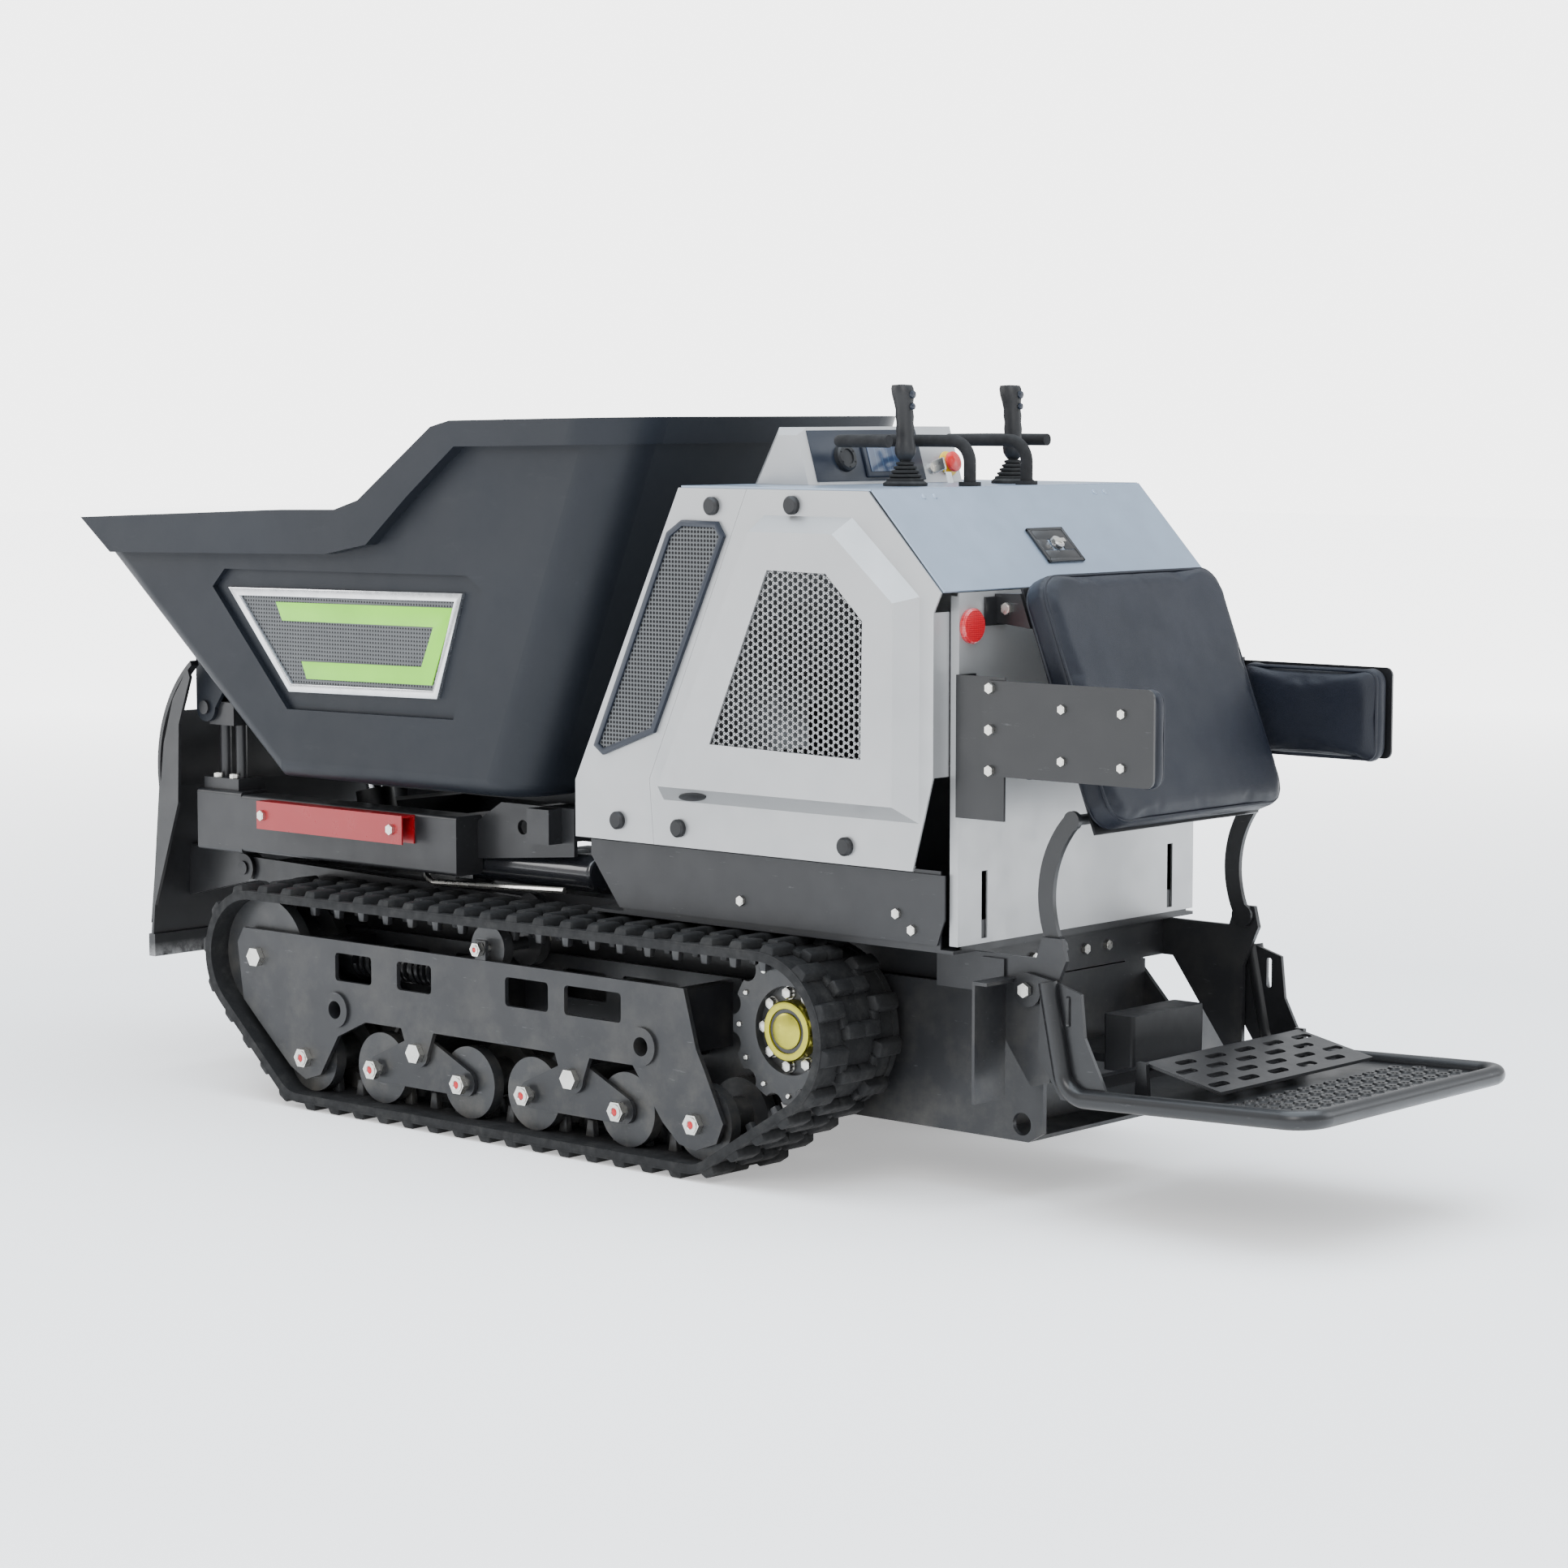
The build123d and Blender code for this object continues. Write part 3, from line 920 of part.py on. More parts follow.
def make_platform():
    """Folding platform: tube frame, slotted side plates, tread floor and pedal lugs."""
    px, pz = PLATFORM_PIVOT
    side = disc(px, pz, 25) + poly((px, pz + 25), (-862, 352), (-915, 337), (-922, 274), (-970, 182), (-880, 180),
                                   (-838, 240), (px - 25, pz), (px, pz))
    side -= disc(px, pz, PLATFORM_PIN_R + FIT)
    side -= Pos(-893, 310) * RectangleRounded(9, 46, 4)
    plate = prism_y(side, PLATFORM_SIDE, PLATFORM_SIDE + PLATFORM_T)
    y = PLATFORM_HALF
    frame = tube([(-858, y, 350), (-893, y, 186), (PLATFORM_REAR, y, PLATFORM_Z + 12),
                  (PLATFORM_REAR, -y, PLATFORM_Z + 12), (-893, -y, 186), (-858, -y, 350)], TUBE_R, 42)
    floor = poly((-888, 184), (PLATFORM_REAR + 8, PLATFORM_Z + 8), (PLATFORM_REAR + 8, PLATFORM_Z + 12), (-888, 188))
    frame += prism_y(floor, -y + 4, y - 4)
    frame += box(-900, -884, -y + 4, y - 4, 182, 206)
    lug = poly((PEDAL_X - 12, 186), (PEDAL_X + 12, 186), (PEDAL_X + 8, PEDAL_Z + 8), (PEDAL_X - 8, PEDAL_Z + 8))
    lug_y = PEDAL_HALF + GAP
    for piece in (plate, prism_y(lug, lug_y, lug_y + 8), rod_y(PEDAL_X, PEDAL_Z, 4, lug_y - 24, lug_y + 4)):
        frame += piece
        frame += other_side(piece)
    return frame


def make_pedal():
    """Slotted presence pedal on its hinge tube, sloping down to the rear."""
    plate = poly((PEDAL_X - 4, PEDAL_Z + 2), (PEDAL_X - 2, PEDAL_Z + 7), (-1118, 212), (-1118, 207.5))
    pedal = prism_y(plate, -PEDAL_HALF, PEDAL_HALF) + rod_y(PEDAL_X, PEDAL_Z, 7, -PEDAL_HALF, PEDAL_HALF)
    for row in range(4):
        x = -1010 - 28 * row
        for k in range(5):
            y = (k - 2) * 74 + (18 if row % 2 else -18)
            pedal -= Pos(x, y, 220) * prism_z(RectangleRounded(14, 44, 6.5), -30, 30)
    return pedal - rod_y(PEDAL_X, PEDAL_Z, 4 + FIT, -PEDAL_HALF - 1, PEDAL_HALF + 1)


def make_control_box():
    case = box(-868, -812, -115, 65, 192, 276)
    case = fillet(case.edges().filter_by(Axis.Z), 6)
    return case + box(-814, -700 - GAP, -100, 50, 200, 212)


def hex_bolt(x, y, z, axis, size=8.0, height=6.0):
    """Bolt head that stands on a surface, facing along a unit axis."""
    plane = Plane((x, y, z), z_dir=axis).offset(GAP)
    head = extrude(plane * RegularPolygon(size, 6), amount=height)
    return head + extrude(plane.offset(height - 0.5) * Circle(size * 0.7), amount=1.2)


def make_bar_bolts():
    """Heads of the two bolts that hold the safety channel on its beam."""
    return [hex_bolt(x, BEAM_OUT + GAP + 30, 476, (0, 1, 0), 9, 6) for x in (806, 480)]


def make_bolts():
    """The fastener heads that are the same on both sides."""
    left = (0, 1, 0)
    up = (0, 0, 1)
    rear = (-1, 0, 0)
    bolts = []
    for x in (948, 990):
        bolts.append(hex_bolt(x - 4, HINGE_Y + 21, BEAM_HIGH + 20, up, 8, 7))
    for x, z in ((-300, 412), (-610, 420), (-640, 398)):
        bolts.append(hex_bolt(x, TRAY_HALF + GAP + SHEET, z + 12, left, 8, 5))
    for z in (774, 714, 655):
        bolts.append(hex_bolt(-786, HIP_Y + 4 + GAP, z, left, 8, 6))
    for x, z in ((-915, 750), (-1020, 749), (-915, 676), (-1020, 673)):
        bolts.append(hex_bolt(x, HIP_Y + 4 + GAP, z, left, 7, 4))
    bolts.append(hex_bolt(-742, 211, 883, left, 9, 6))
    bolts.append(hex_bolt(PLATFORM_PIVOT[0], PLATFORM_SIDE + PLATFORM_T + 2, PLATFORM_PIVOT[1], left, 11, 7))
    for y in (36, 92):
        bolts.append(hex_bolt(-700, y, 352, rear, 8, 6))
    return bolts


def make_knobs():
    """Plastic cover knobs on the silver panels."""
    knobs = []
    for x, z in ((-266.5, 1026), (-65.5, 533), (-195.5, 530), (-534.5, 528), (-428.5, 1030)):
        knob = rod_y(x, z, 14, COVER_BASE + GAP, COVER_BASE + GAP + 9)
        knobs.append(chamfer(knob.edges().sort_by(Axis.Y)[-1], 3))
    return knobs


def make_reflector():
    plane = Plane((BODY_REAR - GAP, 266, 859), z_dir=(-1, 0, 0))
    lens = extrude(plane * Circle(26), amount=8)
    return chamfer(lens.edges().sort_by(Axis.X)[0], 3)


both_sides("side_cover", make_side_cover())
add("front_panel", make_front_panel())
add("rear_panel", make_rear_panel())
add("deck_panel", make_deck())
add("service_lid", *make_lid())
add("lid_latch", make_latch())
add("console", *make_console())
add("key_switch", make_key())
add("stop_button", make_stop_button())
add("joystick_left", make_stick(1))
add("joystick_right", make_stick(-1))
add("hip_rails", *[piece for part in make_hip_bracket() for piece in twin(part)])
grille_face = COVER_FACE - SHEET - GAP
grille = prism_y(offset(poly(*MESH), 8, kind=Kind.INTERSECTION), grille_face - 2, grille_face)
groups = {
    "side_grilles": [grille],
    "hand_loops": [make_hand_loop()],
    "lower_skirts": [make_skirt(), make_guard()],
    "motors_and_pump": [make_drive_motor()],
    "track_tensioners": [make_tensioner()],
    "hip_pads": [make_hip_pad()],
    "cover_knobs": make_knobs(),
    "reflectors": [make_reflector()],
    "axles_and_bolts": [*axles, *make_bolts()],
}
for name, pieces in groups.items():
    for piece in pieces:
        add(name, *twin(piece))
add("axles_and_bolts", *make_bar_bolts())
add("safety_bar", make_safety_bar())
add("motors_and_pump", make_power_unit())
battery = box(-600, -230, -240, 240, TRAY_TOP + GAP, 640)
controller = box(-560, -300, -150, 150, 640 + GAP, 720)
add("battery_and_controls", battery, controller, make_control_box())
add("backrest_pad", make_backrest_pad())
add("backrest_frame", make_backrest_frame())
add("platform", make_platform())
add("pedal_plate", make_pedal())

os.makedirs("parts", exist_ok=True)
for name, solids in nodes.items():
    export_step(Pos(TO_MIDDLE, 0, 0) * Compound(solids), os.path.join("parts", name + ".step"))
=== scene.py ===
"""Looks of a stand-on tracked mini dumper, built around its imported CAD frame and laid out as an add-on."""

import math

import bmesh
import bpy
from bpy.props import FloatProperty, FloatVectorProperty, IntProperty, PointerProperty
from mathutils import Matrix, Vector
from mathutils.bvhtree import BVHTree


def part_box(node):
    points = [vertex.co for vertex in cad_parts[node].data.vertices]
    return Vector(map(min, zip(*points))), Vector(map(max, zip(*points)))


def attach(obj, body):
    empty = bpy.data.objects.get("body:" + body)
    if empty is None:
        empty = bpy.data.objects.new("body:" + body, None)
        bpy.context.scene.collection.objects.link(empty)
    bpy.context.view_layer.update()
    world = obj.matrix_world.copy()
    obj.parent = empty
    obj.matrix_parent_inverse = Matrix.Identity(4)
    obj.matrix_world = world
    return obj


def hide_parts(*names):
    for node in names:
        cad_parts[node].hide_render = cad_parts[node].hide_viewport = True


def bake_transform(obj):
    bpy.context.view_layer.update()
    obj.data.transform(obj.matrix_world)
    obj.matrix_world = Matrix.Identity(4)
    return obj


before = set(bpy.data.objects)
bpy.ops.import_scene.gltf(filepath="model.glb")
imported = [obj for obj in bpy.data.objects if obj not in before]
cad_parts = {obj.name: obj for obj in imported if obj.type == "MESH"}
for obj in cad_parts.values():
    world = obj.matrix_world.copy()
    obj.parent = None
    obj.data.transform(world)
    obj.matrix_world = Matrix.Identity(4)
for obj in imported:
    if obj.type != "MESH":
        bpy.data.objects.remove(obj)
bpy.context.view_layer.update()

bl_info = {
    "name": "Tracked mini dumper",
    "version": (1, 0, 0),
    "blender": (4, 5, 0),
    "location": "View3D > Sidebar > Dumper",
    "description": "Builds the finishes and fine pieces of a tracked mini dumper around its CAD frame",
    "category": "Object",
}

MACHINE = "machine"
SIDES = (("left", 1), ("right", -1))
HAIR = 0.0003          # standing gap between pieces that face each other
SHARP = math.radians(38)
SMALL_PITCH = 0.060    # nominal track pitch


# ---------------------------------------------------------------- settings

def colour_setting(name, description, default):
    return FloatVectorProperty(name=name, description=description, default=default, subtype="COLOR", min=0, max=1)


def length_setting(name, description, default):
    return FloatProperty(name=name, description=description, default=default, unit="LENGTH", min=0)


class DumperColours(bpy.types.PropertyGroup):
    """Colours that the finishes start from."""
    body: colour_setting("Body", "Silver-grey paint of the body panels", (0.40, 0.405, 0.41))
    # painted reflection: the lid and deck take the body's silver paint tinted blue, standing for the sky reflected on
    # these top faces
    lid: colour_setting("Lid", "Silver paint of the lid and deck with a painted blue sky reflection", (0.30, 0.37, 0.47))
    skip: colour_setting("Skip", "Moulded plastic of the skip", (0.0075, 0.0095, 0.0135))
    steel: colour_setting("Chassis", "Charcoal paint of the chassis", (0.014, 0.0145, 0.0165))
    channel: colour_setting("Channel", "Red paint of the safety channel", (0.30, 0.004, 0.009))
    accent: colour_setting("Accent", "Lime green of the badges", (0.19, 0.56, 0.025))
    hub: colour_setting("Hub cap", "Yellow zinc of the hub caps", (0.46, 0.43, 0.06))
    pad: colour_setting("Pads", "Leatherette of the pads", (0.0045, 0.0062, 0.0115))


class DumperSizes(bpy.types.PropertyGroup):
    """Sizes of the fine pieces."""
    lug_length: length_setting("Lug length", "Length of one tread lug along the belt", 0.030)
    hole_pitch: length_setting("Hole pitch", "Spacing of the hexagonal grille holes", 0.0115)
    hole_width: length_setting("Hole width", "Width across the corners of a grille hole", 0.0102)
    pad_swell: length_setting("Pad swell", "Furthest that a pad's skin may swell", 0.009)
    piping: length_setting("Piping", "Radius of the pads' piping", 0.0028)
    spring_wire: length_setting("Spring wire", "Radius of the tensioner spring's wire", 0.0045)
    spring_turns: IntProperty(name="Spring turns", description="Turns of each tensioner spring", default=17, min=3)


def colours():
    return bpy.context.scene.dumper_colours


def sizes():
    return bpy.context.scene.dumper_sizes


# ---------------------------------------------------------------- finishes

class Finish:
    """One procedural material on Object coordinates."""

    def __init__(self, name, colour, rough, **sockets):
        self.material = bpy.data.materials.new(name)
        self.material.use_nodes = True
        self.tree = self.material.node_tree
        self.shader = next(n for n in self.tree.nodes if n.type == "BSDF_PRINCIPLED")
        self.colour = (*colour[:3], 1.0)
        self.shader.inputs["Base Color"].default_value = self.colour
        self.shader.inputs["Roughness"].default_value = rough
        for socket, value in sockets.items():
            self.shader.inputs[socket.replace("_", " ").title().replace("Ior", "IOR")].default_value = value
        self.place = self.node("TexCoord", out="Object")
        self.normal = None

    def node(self, kind, out=0, settings=None, **inputs):
        made = self.tree.nodes.new("ShaderNode" + kind)
        for key, value in (settings or {}).items():
            setattr(made, key, value)
        for key, value in inputs.items():
            socket = made.inputs[int(key[1:])] if key[0] == "i" and key[1:].isdigit() else made.inputs[key]
            if isinstance(value, bpy.types.NodeSocket):
                self.tree.links.new(value, socket)
            else:
                socket.default_value = value
        return made.outputs[out]

    def stretched(self, scale):
        return self.node("Mapping", Vector=self.place, Scale=scale)

    def noise(self, scale, detail=3.0, rough=0.5, stretch=None):
        place = self.stretched(stretch) if stretch else self.place
        return self.node("TexNoise", out="Fac", Vector=place, Scale=scale, Detail=detail, Roughness=rough)

    def cells(self, scale, feature="F1", loose=1.0, stretch=None):
        place = self.stretched(stretch) if stretch else self.place
        return self.node("TexVoronoi", out="Distance", settings={"feature": feature}, Vector=place, Scale=scale,
                         Randomness=loose)

    def ramp(self, value, low, high, start=0.0, end=1.0):
        return self.node("MapRange", out="Result", Value=value, **{"From Min": low, "From Max": high, "To Min": start,
                                                                  "To Max": end})

    def maths(self, operation, a, b):
        return self.node("Math", settings={"operation": operation}, i0=a, i1=b)

    def axis(self, letter):
        return self.node("SeparateXYZ", out=letter, Vector=self.place)

    def tint(self, amount, colour):
        """Mixes another colour over the base colour by an amount socket."""
        made = self.tree.nodes.new("ShaderNodeMix")
        made.data_type = "RGBA"
        self.tree.links.new(amount, made.inputs[0])
        source = self.shader.inputs["Base Color"]
        if source.is_linked:
            self.tree.links.new(source.links[0].from_socket, made.inputs[6])
        else:
            made.inputs[6].default_value = self.colour
        made.inputs[7].default_value = (*colour[:3], 1.0)
        self.tree.links.new(made.outputs[2], source)
        return self

    def roughen(self, value, low, high, start, end):
        self.tree.links.new(self.ramp(value, low, high, start, end), self.shader.inputs["Roughness"])
        return self

    def bump(self, height, strength, distance):
        made = self.tree.nodes.new("ShaderNodeBump")
        made.inputs["Strength"].default_value = strength
        made.inputs["Distance"].default_value = distance
        self.tree.links.new(height, made.inputs["Height"])
        if self.normal:
            self.tree.links.new(self.normal, made.inputs["Normal"])
        self.normal = made.outputs["Normal"]
        self.tree.links.new(self.normal, self.shader.inputs["Normal"])
        return self


def shade(colour, factor):
    return tuple(min(1.0, part * factor) for part in colour[:3])


def paint(name, colour, rough, metal=0.0, coat=0.2, dirt=0.0, wear=0.0):
    """Powder coat: slight orange peel, uneven gloss, and dust or rubbed spots where asked."""
    made = Finish(name, colour, rough, metallic=metal, coat_weight=coat, coat_roughness=0.25, specular_ior_level=0.36)
    made.tint(made.ramp(made.noise(3.5, 4), 0.3, 0.7, 0.0, 0.6), shade(colour, 0.86))
    if dirt:
        low = made.ramp(made.axis("Z"), 0.45, 0.02, 0.0, 1.0)
        patches = made.ramp(made.noise(14, 6, 0.65), 0.45, 0.75, 0.0, dirt)
        made.tint(made.maths("MULTIPLY", low, patches), (0.13, 0.12, 0.10))
    if wear:
        streaks = made.noise(60, 4, 0.7, stretch=(0.35, 1.0, 2.2))
        made.tint(made.ramp(streaks, 0.66, 0.74, 0.0, wear), (0.20, 0.20, 0.21))
    made.roughen(made.noise(22, 5, 0.6), 0.3, 0.7, rough * 0.86, rough * 1.16)
    return made.bump(made.noise(420, 2), 0.05, 0.0006).material


def metal(name, colour, rough, streak=(1.0, 1.0, 1.0)):
    """Bare or plated metal with fine streaks and tarnish."""
    made = Finish(name, colour, rough, metallic=1.0)
    made.tint(made.ramp(made.noise(30, 4), 0.4, 0.75, 0.0, 0.5), shade(colour, 0.7))
    made.roughen(made.noise(160, 4, 0.6, stretch=streak), 0.3, 0.7, rough * 0.8, rough * 1.3)
    return made.bump(made.noise(500, 3, stretch=streak), 0.06, 0.0003).material


def moulded(name, colour, rough, grain=900.0, depth=0.12, coat=0.0):
    """Moulded plastic with a fine pebble grain."""
    made = Finish(name, colour, rough, coat_weight=coat, coat_roughness=0.3, specular_ior_level=0.36)
    made.tint(made.ramp(made.noise(6, 4), 0.35, 0.7, 0.0, 0.5), shade(colour, 1.5))
    made.roughen(made.noise(40, 5), 0.3, 0.7, rough * 0.88, rough * 1.12)
    return made.bump(made.cells(grain), depth, 0.0003).material


def skip_finish(colour):
    """Matt bluish black moulding with faint scuffs."""
    made = Finish("skip plastic", colour, 0.48, specular_ior_level=0.24)
    made.tint(made.ramp(made.noise(2.2, 3), 0.3, 0.7, 0.0, 0.7), shade(colour, 1.45))
    scuffs = made.ramp(made.noise(38, 6, 0.72, stretch=(0.25, 1.0, 0.8)), 0.60, 0.78, 0.0, 0.10)
    made.tint(scuffs, (0.05, 0.055, 0.06))
    made.roughen(made.noise(9, 6, 0.6), 0.3, 0.72, 0.40, 0.54)
    made.bump(made.cells(1100), 0.10, 0.00025)
    return made.bump(made.noise(5, 2), 0.10, 0.004).material


def rubber_finish():
    """Tyre-like rubber with dry dust caught in its grain."""
    colour = (0.0095, 0.0098, 0.0105)
    made = Finish("track rubber", colour, 0.66, specular_ior_level=0.28)
    made.tint(made.ramp(made.noise(26, 7, 0.7), 0.52, 0.76, 0.0, 0.45), (0.050, 0.049, 0.046))
    made.tint(made.ramp(made.noise(5, 3), 0.5, 0.75, 0.0, 0.30), (0.030, 0.0295, 0.028))
    made.roughen(made.noise(60, 5), 0.3, 0.7, 0.55, 0.85)
    made.bump(made.noise(210, 5, 0.6), 0.22, 0.0008)
    return made.bump(made.cells(90, loose=1.0), 0.08, 0.0008).material


def leather_finish(colour):
    """Grained leatherette: small pebbles with creases between them."""
    made = Finish("leatherette", colour, 0.46, specular_ior_level=0.30)
    creases = made.cells(420, feature="DISTANCE_TO_EDGE")
    made.tint(made.ramp(made.noise(7, 4), 0.35, 0.7, 0.0, 0.6), shade(colour, 1.5))
    made.roughen(made.noise(18, 5), 0.3, 0.7, 0.42, 0.54)
    made.bump(made.ramp(creases, 0.0, 0.12), 0.28, 0.0005)
    return made.bump(made.noise(34, 4), 0.12, 0.002).material


def lens_finish():
    """Red reflector lens with a grid of small prisms."""
    made = Finish("reflector lens", (0.60, 0.012, 0.02), 0.12, coat_weight=1.0, coat_roughness=0.04)
    prisms = made.cells(330, loose=0.0)
    made.tint(made.ramp(prisms, 0.25, 0.6, 0.0, 0.8), (0.25, 0.0, 0.008))
    return made.bump(prisms, 0.8, 0.001).material


def dark_mesh_finish():
    """Dark backing of the badges, with a fine grid of holes made by bumps, their centres darkened as painted shade."""
    made = Finish("badge mesh", (0.10, 0.105, 0.11), 0.35, metallic=0.8)
    grid = made.cells(150, loose=0.0)
    # painted shade: the centre of each grid cell is darkened to stand for the shade inside a hole
    made.tint(made.ramp(grid, 0.42, 0.30, 0.0, 1.0), (0.006, 0.006, 0.007))
    made.bump(grid, 0.6, 0.001)
    return made.roughen(made.noise(50), 0.3, 0.7, 0.3, 0.45).material


def shovel_finish(colour):
    """Black paint rubbed to bare steel towards the cutting edge."""
    made = Finish("shovel paint", colour, 0.42, coat_weight=0.15, coat_roughness=0.3)
    made.tint(made.ramp(made.noise(4, 4), 0.35, 0.7, 0.0, 0.6), shade(colour, 1.6))
    edge = made.ramp(made.axis("Z"), 0.225, 0.202, 0.0, 1.0)
    patchy = made.ramp(made.noise(45, 6, 0.7), 0.35, 0.6, 0.0, 0.75)
    made.tint(made.maths("MULTIPLY", edge, patchy), (0.30, 0.30, 0.30))
    made.roughen(made.noise(16, 5), 0.3, 0.7, 0.34, 0.52)
    return made.bump(made.noise(380, 2), 0.05, 0.0006).material


def foam_finish():
    made = Finish("grip foam", (0.0085, 0.0085, 0.0092), 0.82, specular_ior_level=0.3)
    made.tint(made.ramp(made.noise(40, 5), 0.4, 0.7, 0.0, 0.5), (0.020, 0.020, 0.022))
    made.roughen(made.noise(70, 3), 0.3, 0.7, 0.74, 0.92)
    return made.bump(made.cells(800), 0.35, 0.0005).material


def screen_finish():
    """Display glass: dark, with faint bars."""
    made = Finish("display glass", (0.018, 0.035, 0.075), 0.22, coat_weight=0.3, coat_roughness=0.12)
    bars = made.node("TexWave", out="Fac", settings={"bands_direction": "Y"}, Vector=made.place, Scale=22.0,
                     Distortion=0.0)
    made.tint(made.ramp(bars, 0.93, 0.99, 0.0, 0.5), (0.05, 0.10, 0.16))
    return made.roughen(made.noise(30), 0.3, 0.7, 0.18, 0.28).material


def make_finishes():
    """Every finish, by the name that the pieces ask for."""
    tone = colours()
    return {
        "body": paint("silver body paint", tone.body, 0.40, metal=0.6, coat=0.15),
        # painted reflection: this silver paint is tinted blue for the sky reflected on the top-facing lid, deck and lid
        # rivets
        "lid": paint("silver lid paint with painted sky reflection", tone.lid, 0.34, metal=0.6, coat=0.2),
        "steel": paint("charcoal chassis paint", tone.steel, 0.44, dirt=0.35, wear=0.25),
        "black": paint("black bracket paint", shade(tone.steel, 0.62), 0.36, wear=0.15),
        "channel": paint("red channel paint", tone.channel, 0.30, coat=0.25, wear=0.06),
        "pump": paint("grey unit enamel", (0.012, 0.013, 0.016), 0.14, coat=0.8),
        "skip": skip_finish(tone.skip),
        "shovel": shovel_finish(shade(tone.steel, 0.5)),
        "rubber": rubber_finish(),
        "wheel": paint("wheel casting paint", (0.028, 0.029, 0.031), 0.40, dirt=0.6, wear=0.4),
        "chrome": metal("rod chrome", (0.78, 0.79, 0.81), 0.12, (1.0, 6.0, 1.0)),
        "zinc": metal("zinc plate", (0.66, 0.65, 0.61), 0.30),
        "hub": metal("yellow zinc", tone.hub, 0.33),
        "frame ring": metal("badge frame metal", (0.62, 0.63, 0.65), 0.22),
        "leather": leather_finish(tone.pad),
        "foam": foam_finish(),
        "trim": moulded("trim plastic", (0.0085, 0.0088, 0.010), 0.46),
        "gloss trim": moulded("satin panel plastic", (0.008, 0.012, 0.021), 0.36, grain=300, depth=0.03, coat=0.1),
        "stop": moulded("red button plastic", (0.60, 0.012, 0.012), 0.24, depth=0.04, coat=0.6),
        "yellow": moulded("yellow collar plastic", (0.75, 0.52, 0.02), 0.3, depth=0.05, coat=0.3),
        "tag": moulded("white tag plastic", (0.70, 0.70, 0.68), 0.4, depth=0.05),
        "accent": moulded("lime accent", tone.accent, 0.38, grain=500, depth=0.03, coat=0.1),
        "mark": paint("red bolt mark", (0.55, 0.012, 0.02), 0.4),
        "mesh": dark_mesh_finish(),
        "lens": lens_finish(),
        "screen": screen_finish(),
    }


FINISHES = {}
NODE_FINISH = {
    "body": ("front_panel", "rear_panel", "side_cover_left", "side_cover_right", "console"),
    "lid": ("deck_panel", "service_lid"),
    "skip": ("skip",),
    "shovel": ("shovel",),
    "steel": ("chassis_frame", "load_subframe", "lift_arms", "lower_skirts", "track_frame_left", "track_frame_right",
              "bogie_beams"),
    "black": ("backrest_frame", "hip_rails", "platform", "pedal_plate", "lift_cylinder_barrel", "tip_cylinder_barrel",
              "side_grilles", "track_tensioners"),
    "channel": ("safety_bar",),
    "pump": ("motors_and_pump",),
    "chrome": ("tip_cylinder_rod", "lift_cylinder_rod"),
    "zinc": ("axles_and_bolts", "lid_latch", "key_switch"),
    "trim": ("battery_and_controls", "cover_knobs", "joystick_left", "joystick_right"),
    "foam": ("hand_loops",),
    "leather": ("backrest_pad", "hip_pads"),
    "stop": ("stop_button",),
    "lens": ("reflectors",),
    "rubber": ("track_belt_left", "track_belt_right"),
}


def finish_for(node):
    return next((name for name, members in NODE_FINISH.items() if node in members), "wheel")


# ---------------------------------------------------------------- shapes

def piece(name, shape, finish, body=MACHINE, stands_for=()):
    """Turns a bmesh into a finished piece that rides on a body."""
    bmesh.ops.remove_doubles(shape, verts=shape.verts, dist=1e-6)
    bmesh.ops.recalc_face_normals(shape, faces=shape.faces)
    for face in shape.faces:
        face.smooth = True
    for edge in shape.edges:
        edge.smooth = len(edge.link_faces) == 2 and edge.calc_face_angle(0.0) < SHARP
    mesh = bpy.data.meshes.new(name)
    shape.to_mesh(mesh)
    shape.free()
    return dressed(name, mesh, finish, body, stands_for)


def dressed(name, mesh, finish, body=MACHINE, stands_for=()):
    """A mesh made into an object with its finish, body and the nodes it stands for."""
    made = bpy.data.objects.new(name, mesh)
    bpy.context.scene.collection.objects.link(made)
    mesh.materials.clear()
    mesh.materials.append(FINISHES[finish])
    if body:
        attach(made, body)
    if stands_for:
        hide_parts(*stands_for)
    return made


def block(shape, centre, size, turn=None, bevel=0.0, taper=1.0):
    """A box, tapered towards its local +Z and with softened edges."""
    place = Matrix.Translation(centre) @ (turn or Matrix.Identity(4)) @ Matrix.Diagonal((*size, 1.0))
    made = bmesh.ops.create_cube(shape, size=1.0)["verts"]
    for vert in made:
        if vert.co.z > 0:
            vert.co.x *= taper
            vert.co.y *= 1 - (1 - taper) * 0.5
    bmesh.ops.transform(shape, matrix=place, verts=made)
    if bevel:
        soften(shape, {edge for vert in made for edge in vert.link_edges}, bevel)


def soften(shape, edges, width, segments=2):
    bmesh.ops.bevel(shape, geom=list(edges), offset=width, segments=segments, profile=0.5, affect="EDGES", material=-1)


def turned(shape, profile, centre, axis, steps=40):
    """A profile of (radius, height) points spun all the way round an axis."""
    along = Vector(axis).normalized()
    out = along.orthogonal().normalized()
    middle = Vector(centre)
    verts = [shape.verts.new(middle + along * height + out * radius) for radius, height in profile]
    edges = [shape.edges.new(pair) for pair in zip(verts, verts[1:])]
    bmesh.ops.spin(shape, geom=verts + edges, cent=middle, axis=along, angle=math.tau, steps=steps, use_merge=True)
    bmesh.ops.remove_doubles(shape, verts=shape.verts, dist=1e-6)


